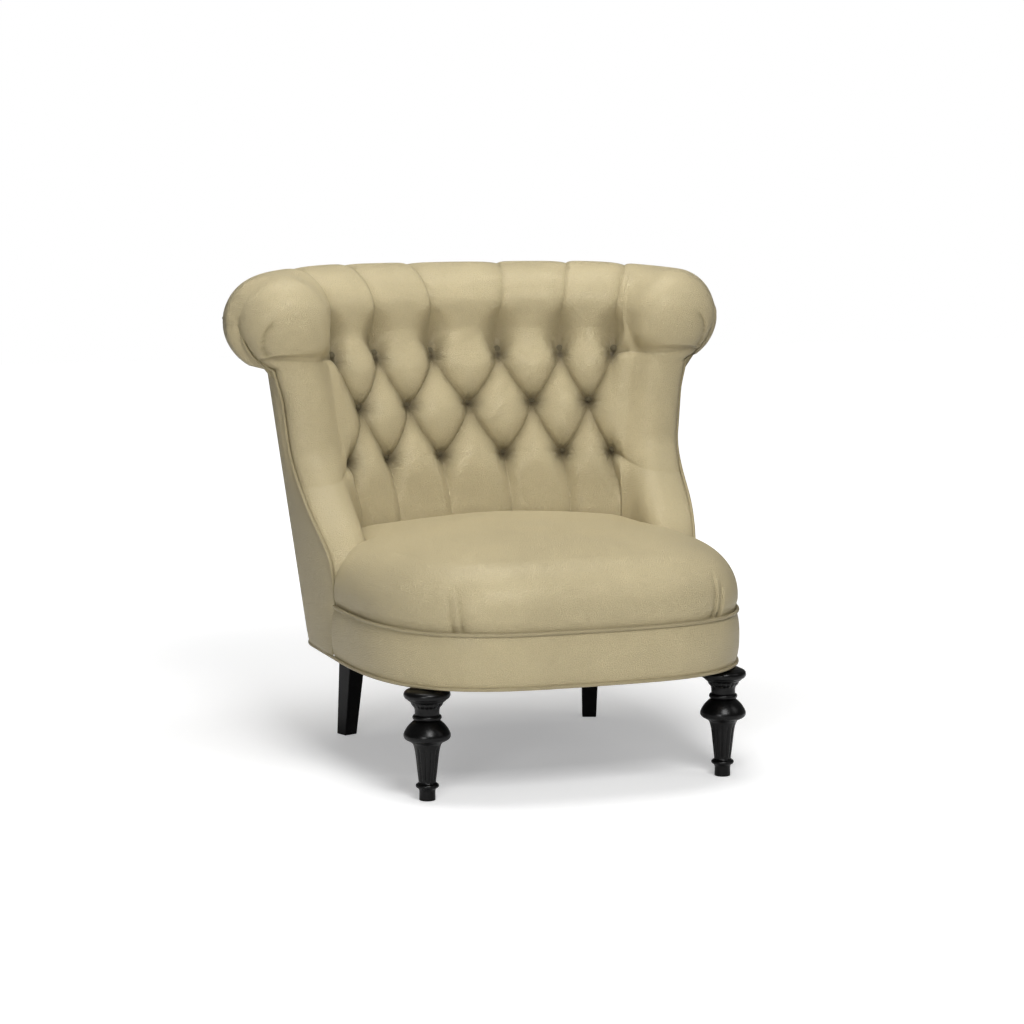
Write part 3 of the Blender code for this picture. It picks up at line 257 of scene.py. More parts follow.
# Softening of the back cover's ends: distances along its rows, and across the crease under the roll
EASE_SAMPLES = 220
EASE_LEVELS = (0.006, 0.012, 0.020, 0.030, 0.042)
EASE_FIRST_COLUMN = 3.5
WING_EASE = 0.022
ROLL_EASE = 0.034
DOME_EASE = 0.014
JOIN_EASE = 0.016
JOIN_COLUMN = 7.8
CREASE_EASE = 0.016
CREASE_ROWS_BELOW = 40
CREASE_ROWS_ABOVE = 44

# Stage
CAMERA_PLACE = (-1.635079, -4.466223, 1.030630)
CAMERA_AIM = (0.3411, 0.9312, -0.1286)
CAMERA_LENS = 98.32
CAMERA_SENSOR = 36.0
FLOOR_HALF = 9
FLOOR_FAR = (0.7, 2.6)
FLOOR_Z = -0.0004
WORLD_STRENGTH = 0.12
FLOOR_LIFT = 0.33
FLOOR_FAR_LIFT = 1.0
LAMPS = (
    ("key", (-0.30, -2.8, 2.6), (0.0, 0.0, 0.4), (1.2, 1.2), 68.0),
    ("fill", (-2.1, -3.1, 1.1), (0.0, 0.0, 0.35), (1.0, 1.0), 34.0),
    ("side", (2.2, -1.6, 2.2), (0.0, 0.0, 0.45), (1.0, 1.0), 7.0),
    ("top", (-0.1, 0.10, 2.6), (0.0, 0.0, 0.4), (1.5, 1.5), 46.0),
)


def smoothstep(value):
    value = np.clip(value, 0.0, 1.0)
    return value * value * (3 - 2 * value)


def mix(a, b, share):
    return a + (b - a) * share


# Objects and modifiers

def link_piece(name, mesh, finish):
    obj = bpy.data.objects.new(name, mesh)
    bpy.context.scene.collection.objects.link(obj)
    mesh.materials.clear()
    mesh.materials.append(finish)
    return obj


def mesh_piece(name, points, faces, finish, smooth_angle=180, recalculate=True):
    """An object from points in the frame of the outline formulas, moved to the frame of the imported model."""
    points = np.array(points, float).reshape(-1, 3)
    points[:, 1] += CENTRE_SHIFT
    mesh = bpy.data.meshes.new(name)
    mesh.from_pydata(points.tolist(), [], [list(face) for face in faces])
    if recalculate:
        work = bmesh.new()
        work.from_mesh(mesh)
        bmesh.ops.recalc_face_normals(work, faces=work.faces)
        work.to_mesh(mesh)
        work.free()
    mesh.shade_smooth()
    if smooth_angle < 180:
        mesh.set_sharp_from_angle(angle=math.radians(smooth_angle))
    return link_piece(name, mesh, finish)


def grid_faces(rows, columns, start=0, closed=False):
    """Quads between neighbouring rows of points; closed joins the last column to the first."""
    row = np.arange(rows - 1)[:, None]
    column = np.arange(columns if closed else columns - 1)[None, :]
    after = (column + 1) % columns
    first = start + row * columns + column
    second = start + row * columns + after
    quads = np.stack([first, second, second + columns, first + columns], -1)
    return quads.reshape(-1, 4).tolist()


def baked(obj):
    """The object with its modifiers worked into its mesh."""
    graph = bpy.context.evaluated_depsgraph_get()
    bpy.context.view_layer.update()
    mesh = bpy.data.meshes.new_from_object(obj.evaluated_get(graph))
    obj.modifiers.clear()
    old = obj.data
    obj.data = mesh
    bpy.data.meshes.remove(old)
    mesh.name = obj.name
    return obj


def nodes_result(obj, tree, values):
    """Runs a geometry node tree on the object, with its inputs set by name, and keeps the plain mesh."""
    modifier = obj.modifiers.new("build", "NODES")
    modifier.node_group = tree
    for item in tree.interface.items_tree:
        if item.item_type == "SOCKET" and item.in_out == "INPUT" and item.name in values:
            modifier[item.identifier] = values[item.name]
    return baked(obj)


def line_object(name, points, closed=False):
    """A helper mesh of edges along a line of points."""
    points = np.array(points, float)
    points[:, 1] += CENTRE_SHIFT
    count = len(points)
    edges = [(i, (i + 1) % count) for i in range(count if closed else count - 1)]
    mesh = bpy.data.meshes.new(name)
    mesh.from_pydata(points.tolist(), edges, [])
    obj = bpy.data.objects.new(name, mesh)
    bpy.context.scene.collection.objects.link(obj)
    return obj


def keep(piece, slot, *nodes):
    """Ties a finished piece to the frame and hides the nodes that it stands for; slot is not used."""
    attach(piece, BODY)
    if nodes:
        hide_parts(*nodes)
    return piece


# Node trees


def feed(tree, socket, value):
    """Sets a socket to a value, or links it to another socket."""
    if isinstance(value, bpy.types.NodeSocket):
        tree.links.new(value, socket)
    else:
        socket.default_value = value


def node(tree, kind, settings=None, **inputs):
    """A node with its settings, and its inputs set or linked; i0 names the first input."""
    made = tree.nodes.new(kind)
    for label, value in (settings or {}).items():
        setattr(made, label, value)
    for label, value in inputs.items():
        key = int(label[1:]) if label[1:].isdigit() and label[0] == "i" else label.replace("_", " ")
        feed(tree, made.inputs[key], value)
    return made


def math_node(tree, operation, first, second=0.5, third=None, clamp=False):
    made = node(tree, "ShaderNodeMath", {"operation": operation, "use_clamp": clamp}, i0=first, i1=second)
    if third is not None:
        feed(tree, made.inputs[2], third)
    return made.outputs[0]


def node_group(kind, name, inputs, outputs):
    """A node group with named inputs and outputs, its input node and its output node."""
    group = bpy.data.node_groups.new(name, kind)
    for label, socket_type, value in inputs:
        socket = group.interface.new_socket(label, in_out="INPUT", socket_type=socket_type)
        if value is not None:
            socket.default_value = value
    for label, socket_type in outputs:
        group.interface.new_socket(label, in_out="OUTPUT", socket_type=socket_type)
    return group, group.nodes.new("NodeGroupInput"), group.nodes.new("NodeGroupOutput")


def geometry_group(name, **distances):
    """A geometry node group that takes a mesh, named distances and a material."""
    inputs = [("Geometry", "NodeSocketGeometry", None)]
    inputs += [(label, "NodeSocketFloat", value) for label, value in distances.items()]
    inputs.append(("Material", "NodeSocketMaterial", None))
    return node_group("GeometryNodeTree", name, inputs, [("Geometry", "NodeSocketGeometry")])


def finished(tree, geometry, start, end):
    """Ends a tree in real geometry with its material."""
    real = node(tree, "GeometryNodeRealizeInstances", None, Geometry=geometry)
    paint = node(tree, "GeometryNodeSetMaterial", None, Geometry=real.outputs["Geometry"],
                 Material=start.outputs["Material"])
    feed(tree, end.inputs["Geometry"], paint.outputs["Geometry"])
    return tree


# Base outline

class Plan:
    """The right half of a horseshoe in plan: a wide arc at the back, a corner arc and a wing."""

    def __init__(self, half_width, rear, back_radius, corner_radius, front, front_half_width):
        self.half_width = half_width
        self.front = front
        self.front_half_width = front_half_width
        self.back_radius = back_radius
        self.corner_radius = corner_radius
        across = half_width - corner_radius
        between = back_radius - corner_radius
        self.back_centre = rear - back_radius
        self.corner_y = self.back_centre + np.sqrt(between**2 - across**2)
        self.turn = np.arctan2(across, self.corner_y - self.back_centre)
        self.lengths = (
            back_radius * self.turn,
            corner_radius * (math.pi / 2 - self.turn),
            self.corner_y - front,
        )

    def total(self):
        return self.lengths[0] + self.lengths[1] + self.lengths[2]

    def at(self, length):
        """Places, outward normals and share of the wing at distances from the middle of the back."""
        first, second, third = self.lengths
        on_corner = self.turn + (length - first) / self.corner_radius
        turn = np.clip(np.where(length <= first, length / self.back_radius, on_corner), 0, math.pi / 2)
        sine = np.sin(turn)
        cosine = np.cos(turn)
        share = np.clip((length - first - second) / third, 0, 1)
        wing_x = self.half_width - (self.half_width - self.front_half_width) * share**2
        wing_y = mix(self.corner_y, self.front, share)
        corner_x = self.half_width - self.corner_radius + self.corner_radius * sine
        corner_y = self.corner_y + self.corner_radius * cosine
        past_back = length > first
        past_corner = length > first + second
        x = np.where(past_corner, wing_x, np.where(past_back, corner_x, self.back_radius * sine))
        back_y = self.back_centre + self.back_radius * cosine
        y = np.where(past_corner, wing_y, np.where(past_back, corner_y, back_y))
        return x, y, sine, cosine, share


def half_outline(inset, steps=90):
    """The right half of the base outline in plan, from the middle of the front to the middle of the back."""
    width = BASE_HALF_WIDTH - inset
    depth = FRONT_DEPTH - inset
    power = 2 / FRONT_EXPONENT
    angle = math.pi / 2 * np.arange(steps + 1) / steps
    rise = np.maximum(np.cos(angle), 0.0) ** power
    rise[-1] = 0.0
    front = np.stack([width * np.sin(angle) ** power, FRONT_CENTRE_Y - depth * rise], -1)
    back_radius, corner_radius = OUTER_BACK_RADIUS - inset, OUTER_CORNER_RADIUS - inset
    plan = Plan(width, BASE_REAR_Y - inset, back_radius, corner_radius, FRONT_CENTRE_Y, width)
    length = plan.total() * (1 - np.arange(1, steps + 1) / steps)
    x, y, *_ = plan.at(length)
    return np.vstack([front, np.stack([x, y], -1)])


def travelled(points):
    """Distances along a line to each of its points."""
    steps = np.linalg.norm(np.diff(points, axis=0), axis=1)
    return np.concatenate([[0.0], np.cumsum(steps)])


def resampled(points, distances):
    """Points at given distances along a line."""
    along = travelled(points)
    return np.stack([np.interp(distances, along, axis) for axis in points.T], -1)


def outline_distance(points, y):
    """Distance along the half outline from the middle of the front to where the side reaches y."""
    return float(np.interp(y, points[:, 1], travelled(points)))


def mirrored_line(right):
    """The whole line from its right half, which starts on the centre plane."""
    left = right[::-1] * np.array([-1] + [1] * (right.shape[1] - 1))
    return np.vstack([left[:-1], right])


# Back surface

def edge_share(z):
    share = (z - EDGE_SWEEP_LOW_Z) / (EDGE_SWEEP_HIGH_Z - EDGE_SWEEP_LOW_Z)
    return smoothstep(np.maximum(share, 0.0) ** 0.92)


def edge_y(z):
    """Where the wing's front edge stands at a height."""
    return mix(EDGE_LOW_Y, EDGE_HIGH_Y, edge_share(z)) + EDGE_LEAN * np.maximum(z - EDGE_SWEEP_HIGH_Z, 0.0)


def outer_plan(z):
    rise = z - FRAME_BOTTOM
    waist = smoothstep(rise / 0.09) * (1 - smoothstep((z - EDGE_SWEEP_LOW_Z) / 0.10))
    narrowing = 0.005 + 0.010 * waist - 0.007 * smoothstep((z - ARMPIT_Z + 0.04) / 0.06)
    width = BASE_HALF_WIDTH + SIDE_LEAN * rise
    rear = BASE_REAR_Y + BACK_LEAN * rise
    return Plan(width, rear, OUTER_BACK_RADIUS, OUTER_CORNER_RADIUS, edge_y(z), width - narrowing)


def inner_plan(z):
    """Plan of the tufted side at the depth of the buttons; below the seat it stays upright."""
    over = np.asarray(z, dtype=float) - PAD_CLEAN_Z
    rise = PAD_CLEAN_Z + (over + np.hypot(over, PAD_CLEAN_BEND)) / 2 - INNER_REF_Z
    width = INNER_HALF_WIDTH + INNER_SIDE_LEAN * rise
    rear = INNER_REAR_Y + INNER_LEAN * rise
    front = edge_y(np.maximum(z, PAD_CLEAN_Z)) - WING_REACH
    return Plan(width, rear, INNER_BACK_RADIUS, INNER_CORNER_RADIUS, front, width)


def column_length(column, z):
    """Distance along the tufted side from the middle of the back to a column."""
    length = COLUMN_STEP * column - COLUMN_CLOSING * column**2
    return length * (1 + COLUMN_SPREAD * (z - TOP_ROW_Z + ROW_PITCH))


def inner_points(column, z, rise):
    """Points that stand inwards of the button plane; below the seat the wings keep to the front edge."""
    plan = inner_plan(z)
    side = np.where(column < 0, -1.0, 1.0)
    column = np.abs(column)
    length = column_length(np.minimum(column, LAST_COLUMN), np.maximum(z, PAD_CLEAN_Z))
    share = np.clip((column - LAST_COLUMN) / (EDGE_COLUMN - LAST_COLUMN), 0, 1)
    length = mix(length, plan.total(), share)
    x, y, sine, cosine, wing = plan.at(length)
    y = y + np.where(z < PAD_CLEAN_Z, (edge_y(z) - WING_REACH - plan.front) * smoothstep(wing), 0.0)
    return np.stack([side * (x - sine * rise), y - cosine * rise, np.broadcast_to(z, x.shape)], -1)


def spread_length(plan, column):
    """Even spacing of columns out to the corner seam, and on to the front edge."""
    seam = plan.lengths[0] + plan.lengths[1] / 2
    share = (column - LAST_COLUMN) / (EDGE_COLUMN - LAST_COLUMN)
    return np.where(column <= LAST_COLUMN, seam * column / LAST_COLUMN, mix(seam, plan.total(), share))


def frame_points(column, z, depth):
    """Points at a depth square to the outside surface in plan."""
    plan = outer_plan(z)
    side = np.where(column < 0, -1.0, 1.0)
    x, y, sine, cosine, _ = plan.at(spread_length(plan, np.abs(column)))
    x = side * (x - sine * depth)
    return np.stack([x, y - cosine * depth, np.broadcast_to(z, x.shape)], -1)


def wing_nose(z):
    return mix(WING_NOSE_LOW, WING_NOSE_HIGH, edge_share(z))


def column_width(column, z):
    """Metres along the tufted side for one column."""
    width = COLUMN_STEP - 2 * COLUMN_CLOSING * np.minimum(np.abs(column), LAST_COLUMN)
    return width * (1 + COLUMN_SPREAD * (z - TOP_ROW_Z + ROW_PITCH))


def bowed(share):
    """Sideways travel of a fold between two buttons: steep at the upper one, flat at the lower one."""
    return share - FOLD_BOW * np.sin(math.pi * share)


def fold_scale(share, width):
    """Turns a sideways distance from a fold into the distance square to it."""
    slope = width / ROW_PITCH * (1 - FOLD_BOW * math.pi * np.cos(math.pi * share))
    return width / np.sqrt(1 + slope**2)


def turned_in(distance, reach=FOLD_TURN):
    """Upper side of a fold: full close to it, then rounded sharply down."""
    near = np.clip(distance / reach, 0, 1)
    return np.sqrt(1 - (1 - near) ** 2)


def rising(distance, reach=FOLD_SLOPE):
    """Lower side of a fold: a gentle rise away from it."""
    near = np.clip(distance / reach, 0, 1)
    return 1 - (1 - near) ** 2


def pleat_lean(column):
    """How far the pleats under the lowest buttons lean to the right, in columns."""
    return np.interp(column, [-5, -3, -1, 1, 3, 5], [0.27, 0.12, 0.13, 0.15, 0.29, 0.50])


def wing_fold_z(column):
    """Height of the soft fold from the lowest outer button to the front of the wing."""
    out = np.maximum(np.abs(column) - LAST_COLUMN, 0.0)
    return TOP_ROW_Z - 2 * ROW_PITCH - WING_FOLD_DROP * out / 4.5


def button_places():
    """Column and row of every button."""
    return [(c, row) for row in range(3) for c in range(-LAST_COLUMN, LAST_COLUMN + 1) if (c + row) % 2]


def nearest_button(column, z, width):
    """Distance over the tufted side to the nearest button, and the direction away from it."""
    nearest = np.full(column.shape, 1.0)
    direction = np.zeros(column.shape)
    for number, (centre, row) in enumerate(button_places()):
        across = (column - centre) * width
        up = z - TOP_ROW_Z + row * ROW_PITCH
        distance = np.hypot(across, up)
        direction = np.where(distance < nearest, np.arctan2(up, across) + number * 1.7, direction)
        nearest = np.minimum(nearest, distance)
    return nearest, direction


def tuft_shape(column, z, width):
    """Swell of the leather between its folds, from 0 on a fold to 1 where it is full."""
    row = (TOP_ROW_Z - z) / ROW_PITCH
    above = np.maximum(-row, 0.0) * ROW_PITCH
    below = np.maximum(row - 2, 0.0) * ROW_PITCH

    def pleat_column(centre):
        return centre + pleat_lean(centre) * smoothstep(below / 0.10)

    def low_pleat(centre):
        """Valley under a lowest button, which opens as it runs down."""
        distance = np.abs(column - pleat_column(centre)) * width
        return mix(rising(distance, 0.024), 1.0, 0.55 * smoothstep(below / 0.09))

    def high_hollow(centre):
        """Hollow over a top button, which widens as it runs up."""
        reach = mix(0.012, 0.036, np.clip(above / 0.040, 0, 1))
        return 1 - np.exp(-((np.abs(column - centre) * width / reach) ** 2))

    def upper_folds(centre, tier):
        """Distances under the two folds that come down from a cell's top button."""
        share = row - tier + 1
        scale = fold_scale(share, width)
        reach = bowed(share)
        return (column - centre + reach) * scale, (centre + reach - column) * scale

    def lower_folds(centre, tier):
        """Distances over the two folds that run down to a cell's bottom button."""
        share = row - tier
        scale = fold_scale(share, width)
        reach = 1 - bowed(share)
        return (column - centre + reach) * scale, (centre + reach - column) * scale

    shape = np.ones(column.shape)
    for centre in (-4, -2, 0, 2, 4):
        left, right = lower_folds(centre, 0)
        inside = (row < 1) & np.where(row < 0, np.abs(column - centre) <= 1, (left >= 0) & (right >= 0))
        value = turned_in(left) * turned_in(right) * high_hollow(centre - 1) * high_hollow(centre + 1)
        shape = np.where(inside, value, shape)
        left, right = upper_folds(centre, 2)
        between = (column >= pleat_column(centre - 1)) & (column <= pleat_column(centre + 1))
        inside = (row > 1) & np.where(row > 2, between, (left >= 0) & (right >= 0))
        value = rising(left) * rising(right) * low_pleat(centre - 1) * low_pleat(centre + 1)
        shape = np.where(inside, value, shape)
    for centre in (-3, -1, 1, 3):
        high_left, high_right = upper_folds(centre, 1)
        left, right = lower_folds(centre, 1)
        inside = (row >= 0) & (row <= 2)
        for distance in (high_left, high_right, left, right):
            inside &= distance >= 0
        value = rising(high_left) * rising(high_right) * turned_in(left) * turned_in(right)
        shape = np.where(inside, value, shape)
    over_fold = z - wing_fold_z(column)
    fold_fade = mix(1.0, 0.55, smoothstep((np.abs(column) - LAST_COLUMN) / 3))
    for side in (-1, 1):
        outer = side * LAST_COLUMN
        high = upper_folds(outer, 1)[0 if side > 0 else 1]
        low = lower_folds(outer, 1)[0 if side > 0 else 1]
        past_pleat = side * (column - pleat_column(outer)) >= 0
        past_row = side * column >= LAST_COLUMN
        inside = (row >= 0) & (high >= 0) & (low >= 0) & (over_fold >= 0) & (side * column > 3.9)
        value = rising(high) * turned_in(low) * mix(1.0, turned_in(over_fold), fold_fade)
        value = value * turned_in(np.maximum(row, 0.0) * ROW_PITCH, 0.020)
        shape = np.where(inside, value, shape)
        inside = (row > 2) & past_pleat & (over_fold < 0)
        value = mix(1.0, rising(-over_fold, 0.030), fold_fade) * low_pleat(outer)
        shape = np.where(inside, value, shape)
        inside = (row < 0) & past_row
        value = rising(above, 0.028) * high_hollow(outer)
        shape = np.where(inside, value, shape)
    return shape


def tuft_height(column, z):
    """How far the swollen leather stands inwards of the button plane, without its folds."""
    out = np.abs(column)
    full = mix(sizes().tuft_height, WING_RISE, smoothstep((out - LAST_COLUMN + 0.2) / 3.0))
    high = mix(full, np.minimum(full, HIGH_RISE), smoothstep((z - TOP_ROW_Z + 0.03) / 0.05))
    return mix(high, np.minimum(high, LOW_RISE), smoothstep((TOP_ROW_Z - 2.15 * ROW_PITCH - z) / 0.075))


def tuft_relief(column, z):
    """Depth of the folds and pits under the swollen leather, with a mask of painted shade beside the folds and
    the distance to the nearest button, which gives the gathers and the pits' painted shade.
    """
    width = column_width(column, z)
    near, direction = nearest_button(column, z, width)
    out = np.abs(column)
    shape = tuft_shape(column, z, width) * smoothstep((near - BUTTON_CLEAR) / BUTTON_RISE)
    over = smoothstep((z - TOP_ROW_Z) / 0.025)
    fold_depth = mix(FOLD_DEPTH, HOLLOW_DEPTH, over)
    fold_depth = mix(fold_depth, WING_FOLD_DEPTH, smoothstep((out - LAST_COLUMN) / 1.7))
    fold_depth = mix(fold_depth, WING_CREASE_DEPTH, smoothstep((out - LAST_COLUMN - 0.8) / 1.6))
    pit_depth = np.maximum(tuft_height(column, z) - PIT_BOTTOM, fold_depth)
    deepest = mix(fold_depth, pit_depth, np.exp(-((near / PIT_REACH) ** 1.3)))
    depth = deepest * (1 - shape)
    row = (TOP_ROW_Z - z) / ROW_PITCH
    from_row = np.abs(row - np.clip(np.round(row), 0, 2)) * ROW_PITCH
    inner = 1 - smoothstep((out - LAST_COLUMN) / 0.4)
    crease = np.exp(-near / ROW_CREASE_LENGTH) * np.exp(-from_row / ROW_CREASE_WIDTH)
    depth = depth + ROW_CREASE_DEPTH * inner * crease * smoothstep(near / 0.02)
    ring = np.exp(-(((near - PUCKER_PLACE) / PUCKER_WIDTH) ** 2))
    depth = depth + PUCKER_DEPTH * ring * (1 + np.cos(9 * direction + 1.5 * np.sin(direction)))
    uneven = np.sin(1.9 * column + 23 * z) * np.sin(31 * z - 0.8 * column + 1.0)
    depth = depth + UNEVEN_DEPTH * uneven * (1 - np.exp(-near / 0.02))
    # The second value is painted shade: darkening beside the folds, where shade falls
    return depth, (1 - shape) ** 3.2 * mix(0.5, 1.0, inner), near


def armpit_drop(column):
    """How far the top row of buttons runs down to the wing's front, past the outer button."""
    return ARMPIT_DROP * smoothstep((np.abs(column) - LAST_COLUMN) / 3)


# Roll

def roll_plan():
    return Plan(
        ROLL_HALF_WIDTH, ROLL_REAR_Y, ROLL_BACK_RADIUS, ROLL_CORNER_RADIUS, ROLL_END_Y, ROLL_END_HALF_WIDTH
    )


def roll_z(column):
    share = smoothstep((np.abs(column) - 3) / (EDGE_COLUMN - 3))
    return ROLL_Z - ROLL_END_DROP * share


def roll_radius(column, angle):
    """Distance from the roll's centreline: fuller under its front, slimmer at the ends."""
    end = smoothstep((np.abs(column) - 3) / (EDGE_COLUMN - 3))
    end = end * (1 - smoothstep((angle - math.pi / 2) / math.radians(80)))
    low = smoothstep(angle / ROLL_START)
    tucked = smoothstep((angle - math.radians(155)) / math.radians(20))
    lapped = smoothstep((np.abs(column) - 6.3) / 0.6)
    radius = ROLL_RADIUS * (1 + ROLL_FRONT_SWELL * low) * (1 - ROLL_END_TAPER * end)
    return radius + tucked * mix(ROLL_TUCK, ROLL_PROUD, lapped)


def roll_pleats(column, angle, width):
    """Depth of the thin pleats that run over the roll from the top row of buttons."""
    depth = mix(PLEAT_LOW_DEPTH, PLEAT_TOP_DEPTH, smoothstep((angle - ROLL_START) / math.radians(75)))
    depth = depth * (1 - smoothstep((angle - math.radians(115)) / math.radians(60)))
    total = np.zeros(np.broadcast(column, angle).shape)
    for centre in (-5, -3, -1, 1, 3, 5):
        distance = (column - centre) * width
        sharp = np.where(distance * centre > 0, PLEAT_SHARP, PLEAT_SOFT)
        total = np.maximum(total, np.exp(-np.abs(distance) / sharp))
    return depth * total, total


def roll_points(column, angle):
    """Points on the roll: angle 0 faces the sitter and 90 degrees is its top."""
    plan = roll_plan()
    side = np.where(column < 0, -1.0, 1.0)
    out = np.abs(column)
    climb = smoothstep((angle - ROLL_START) / (math.pi / 2 - ROLL_START))
    length = column_length(np.minimum(out, LAST_COLUMN), TOP_ROW_Z) * ROLL_SPREAD
    length = length + ROLL_FAN * np.minimum(out, 1.0) * climb
    share = np.clip((out - LAST_COLUMN) / (EDGE_COLUMN - LAST_COLUMN), 0, 1)
    x, y, sine, cosine, _ = plan.at(mix(length, plan.total(), share))
    radius = roll_radius(column, angle)
    reach = -radius * np.cos(angle)
    z = roll_z(column) + radius * np.sin(angle)
    return np.stack([side * (x + sine * reach), y + cosine * reach, z], -1)


def wrap_points(column, angle, out, forward=0.0):
    """Points on the outside cover where it curls under the roll."""
    plan = roll_plan()
    side = np.where(column < 0, -1.0, 1.0)
    x, y, sine, cosine, _ = plan.at(spread_length(plan, np.abs(column)))
    radius = ROLL_RADIUS + out
    reach = -radius * np.cos(angle)
    z = roll_z(column) + radius * np.sin(angle)
    return np.stack([side * (x + sine * reach), y + cosine * reach - forward, z], -1)


# Tufted cover of the back and the roll

def cover_columns():
    steps = COLUMN_CUTS * 2 * EDGE_COLUMN
    return EDGE_COLUMN * (2 * np.arange(steps + 1) / steps - 1)


def pad_rows(columns):
    """Rows of the swollen surface from under the seat to the top buttons, and the depth of their folds."""
    low = np.array([PAD_LOW_Z, 0.300, 0.330, 0.352, 0.370, 0.382, 0.391])
    nominal = np.concatenate([low, np.linspace(0.398, TOP_ROW_Z, PAD_CUTS)])[:, None]
    nominal = np.broadcast_to(nominal, (len(nominal), len(columns)))
    column = np.broadcast_to(columns[None, :], nominal.shape)
    inner = np.clip(column, -EDGE_COLUMN, EDGE_COLUMN)
    z = nominal - armpit_drop(column) * smoothstep((nominal - 0.60) / (TOP_ROW_Z - 0.60))
    return inner_points(inner, z, tuft_height(inner, nominal)), tuft_relief(column, nominal)


def roll_shares():
    """Shares of the way over the roll, closer together below its front."""
    low = np.linspace(0.006, ROLL_LOW_SHARE, ROLL_CUTS, endpoint=False)
    return np.concatenate([low, np.linspace(ROLL_LOW_SHARE, 1.0, ROLL_HIGH_CUTS)])[:, None]


def roll_rows(columns):
    """Rows of the swollen surface over the roll, which run into the tufts below their front."""
    share = roll_shares()
    column = np.broadcast_to(columns[None, :], (len(share), len(columns)))
    inner = np.clip(column, -EDGE_COLUMN, EDGE_COLUMN)
    out = np.abs(inner)
    start = ROLL_START - ARMPIT_TURN * smoothstep((out - LAST_COLUMN) / 3)
    end = mix(math.radians(181), LAP_ANGLE, smoothstep((out - 6.5) / 0.8))
    angle = mix(start, end, share)
    on_roll = roll_points(inner, angle)
    nominal = on_roll[..., 2] + armpit_drop(inner)
    on_pad = inner_points(inner, on_roll[..., 2], tuft_height(inner, nominal))
    merge = smoothstep((angle - start) / math.radians(60))[..., None]
    depth, fold, near = tuft_relief(column, nominal)
    width = column_width(column, TOP_ROW_Z)
    odd = (np.abs(column) - 1) % 2
    odd = np.abs(odd - np.where(odd > 1, 2, 0))
    beside = np.minimum(odd, np.abs(np.abs(column) - LAST_COLUMN)) * width
    hollow = np.exp(-((beside / HOLLOW_WIDTH) ** 2))
    delay = math.radians(8) * hollow
    reach = mix(math.radians(38), math.radians(42), hollow)
    weight = smoothstep((angle - start - delay) / reach)
    pleat, mark = roll_pleats(column, angle, width)
    depth = mix(depth, pleat, weight)
    # Painted shade along the pleats over the roll
    fold = mix(fold, 0.6 * mark**2, weight)
    # Painted shade: dark scallops above the top buttons, where the roll overhangs them
    shade = np.exp(-((beside / SHADE_WIDTH) ** 2)) * smoothstep((SHADE_TOP - nominal + TOP_ROW_Z) / 0.030)
    shade = shade * (angle < math.pi / 2) * (out < LAST_COLUMN + 0.6)
    fold = np.maximum(fold, HOLLOW_SHADE * shade)
    return mix(on_pad, on_roll, merge), (depth, fold, near), share


def wing_ends(grid, side):
    """Rounded front of a wing, from its inner face round to the seam on its outside."""
    turn = math.pi * np.arange(1, NOSE_CUTS + 1) / NOSE_CUTS
    across = (1 + np.cos(turn)) / 2
    edge = grid[:, -1 if side > 0 else 0]
    z = edge[:, 2:]
    seam = np.abs(frame_points(np.full_like(z, side * EDGE_COLUMN), z, 0.0)[..., 0])
    under = ROLL_END_HALF_WIDTH + np.sqrt(np.maximum(SEAM_RADIUS**2 - (z - roll_z(EDGE_COLUMN)) ** 2, 0.0))
    seam = np.where(z > COVER_ARMPIT_Z, np.maximum(seam, under + WING_SEAM_CLEAR), seam)
    full = seam - np.abs(edge[:, :1])
    swell = WING_SIDE_SWELL * np.sin(turn) * (1 - across)
    x = seam - WING_SEAM_CLEAR + swell - (full - WING_SEAM_CLEAR) * across
    forward = WING_REACH * across + (wing_nose(z) + WING_NOSE_SPARE) * np.sin(turn)
    return np.stack([side * x, edge_y(z) - forward, np.broadcast_to(z, x.shape)], -1)


def roll_ends(side, share):
    """Domed end of the roll: chords from its inner side to the seam round its outside, and its gather."""
    turn = math.pi * np.arange(1, NOSE_CUTS + 1) / NOSE_CUTS
    across = (1 - np.cos(turn)) / 2
    start = mix(ROLL_START - ARMPIT_TURN, LAP_ANGLE, share)
    seam = mix(ARMPIT_SEAM, LAP_ANGLE + math.radians(2.5), share)
    x = mix(-np.cos(start), -np.cos(seam), across)
    z = mix(np.sin(start), np.sin(seam), across)
    middle = np.hypot(x, z)
    angle = np.arctan2(z, -x)
    around = np.where(angle < ROLL_START - ARMPIT_TURN - 1e-6, angle + 2 * math.pi, angle)
    under = roll_radius(EDGE_COLUMN, ROLL_START - ARMPIT_TURN)
    radius = roll_radius(EDGE_COLUMN, np.minimum(around, math.pi))
    low = smoothstep((around - ARMPIT_SEAM) / (2 * math.pi + ROLL_START - ARMPIT_TURN - ARMPIT_SEAM))
    flush = smoothstep((math.radians(207) - around) / math.radians(20))
    outside = mix(mix(SEAM_RADIUS, ROLL_RADIUS + ROLL_PROUD, flush), under, low)
    radius = np.where(around > math.pi, outside, radius)
    bulge = np.sqrt(np.maximum(1 - middle**DOME_POWER, 0.0))
    forward = ROLL_CAP_LENGTH * bulge + DOME_LOW_SPARE * (1 - smoothstep(share / 0.15))
    place_x = side * (ROLL_END_HALF_WIDTH + radius * x)
    points = np.stack([place_x, ROLL_END_Y - forward, roll_z(EDGE_COLUMN) + radius * z], -1)
    from_hub = np.hypot(x - GATHER_HUB[0], z - GATHER_HUB[1])
    bearing = np.degrees(np.arctan2(z - GATHER_HUB[1], x - GATHER_HUB[0]))
    along = smoothstep((GATHER_TOP - bearing) / 25) * smoothstep((bearing + 100) / 20)
    beside = (from_hub - GATHER_RADIUS) * ROLL_RADIUS
    mark = along * np.exp(-np.abs(beside) / np.where(beside > 0, GATHER_SHARP, GATHER_SOFT))
    # The squared mark is painted shade along the gather's crease
    return points, GATHER_DEPTH * mark, mark**2


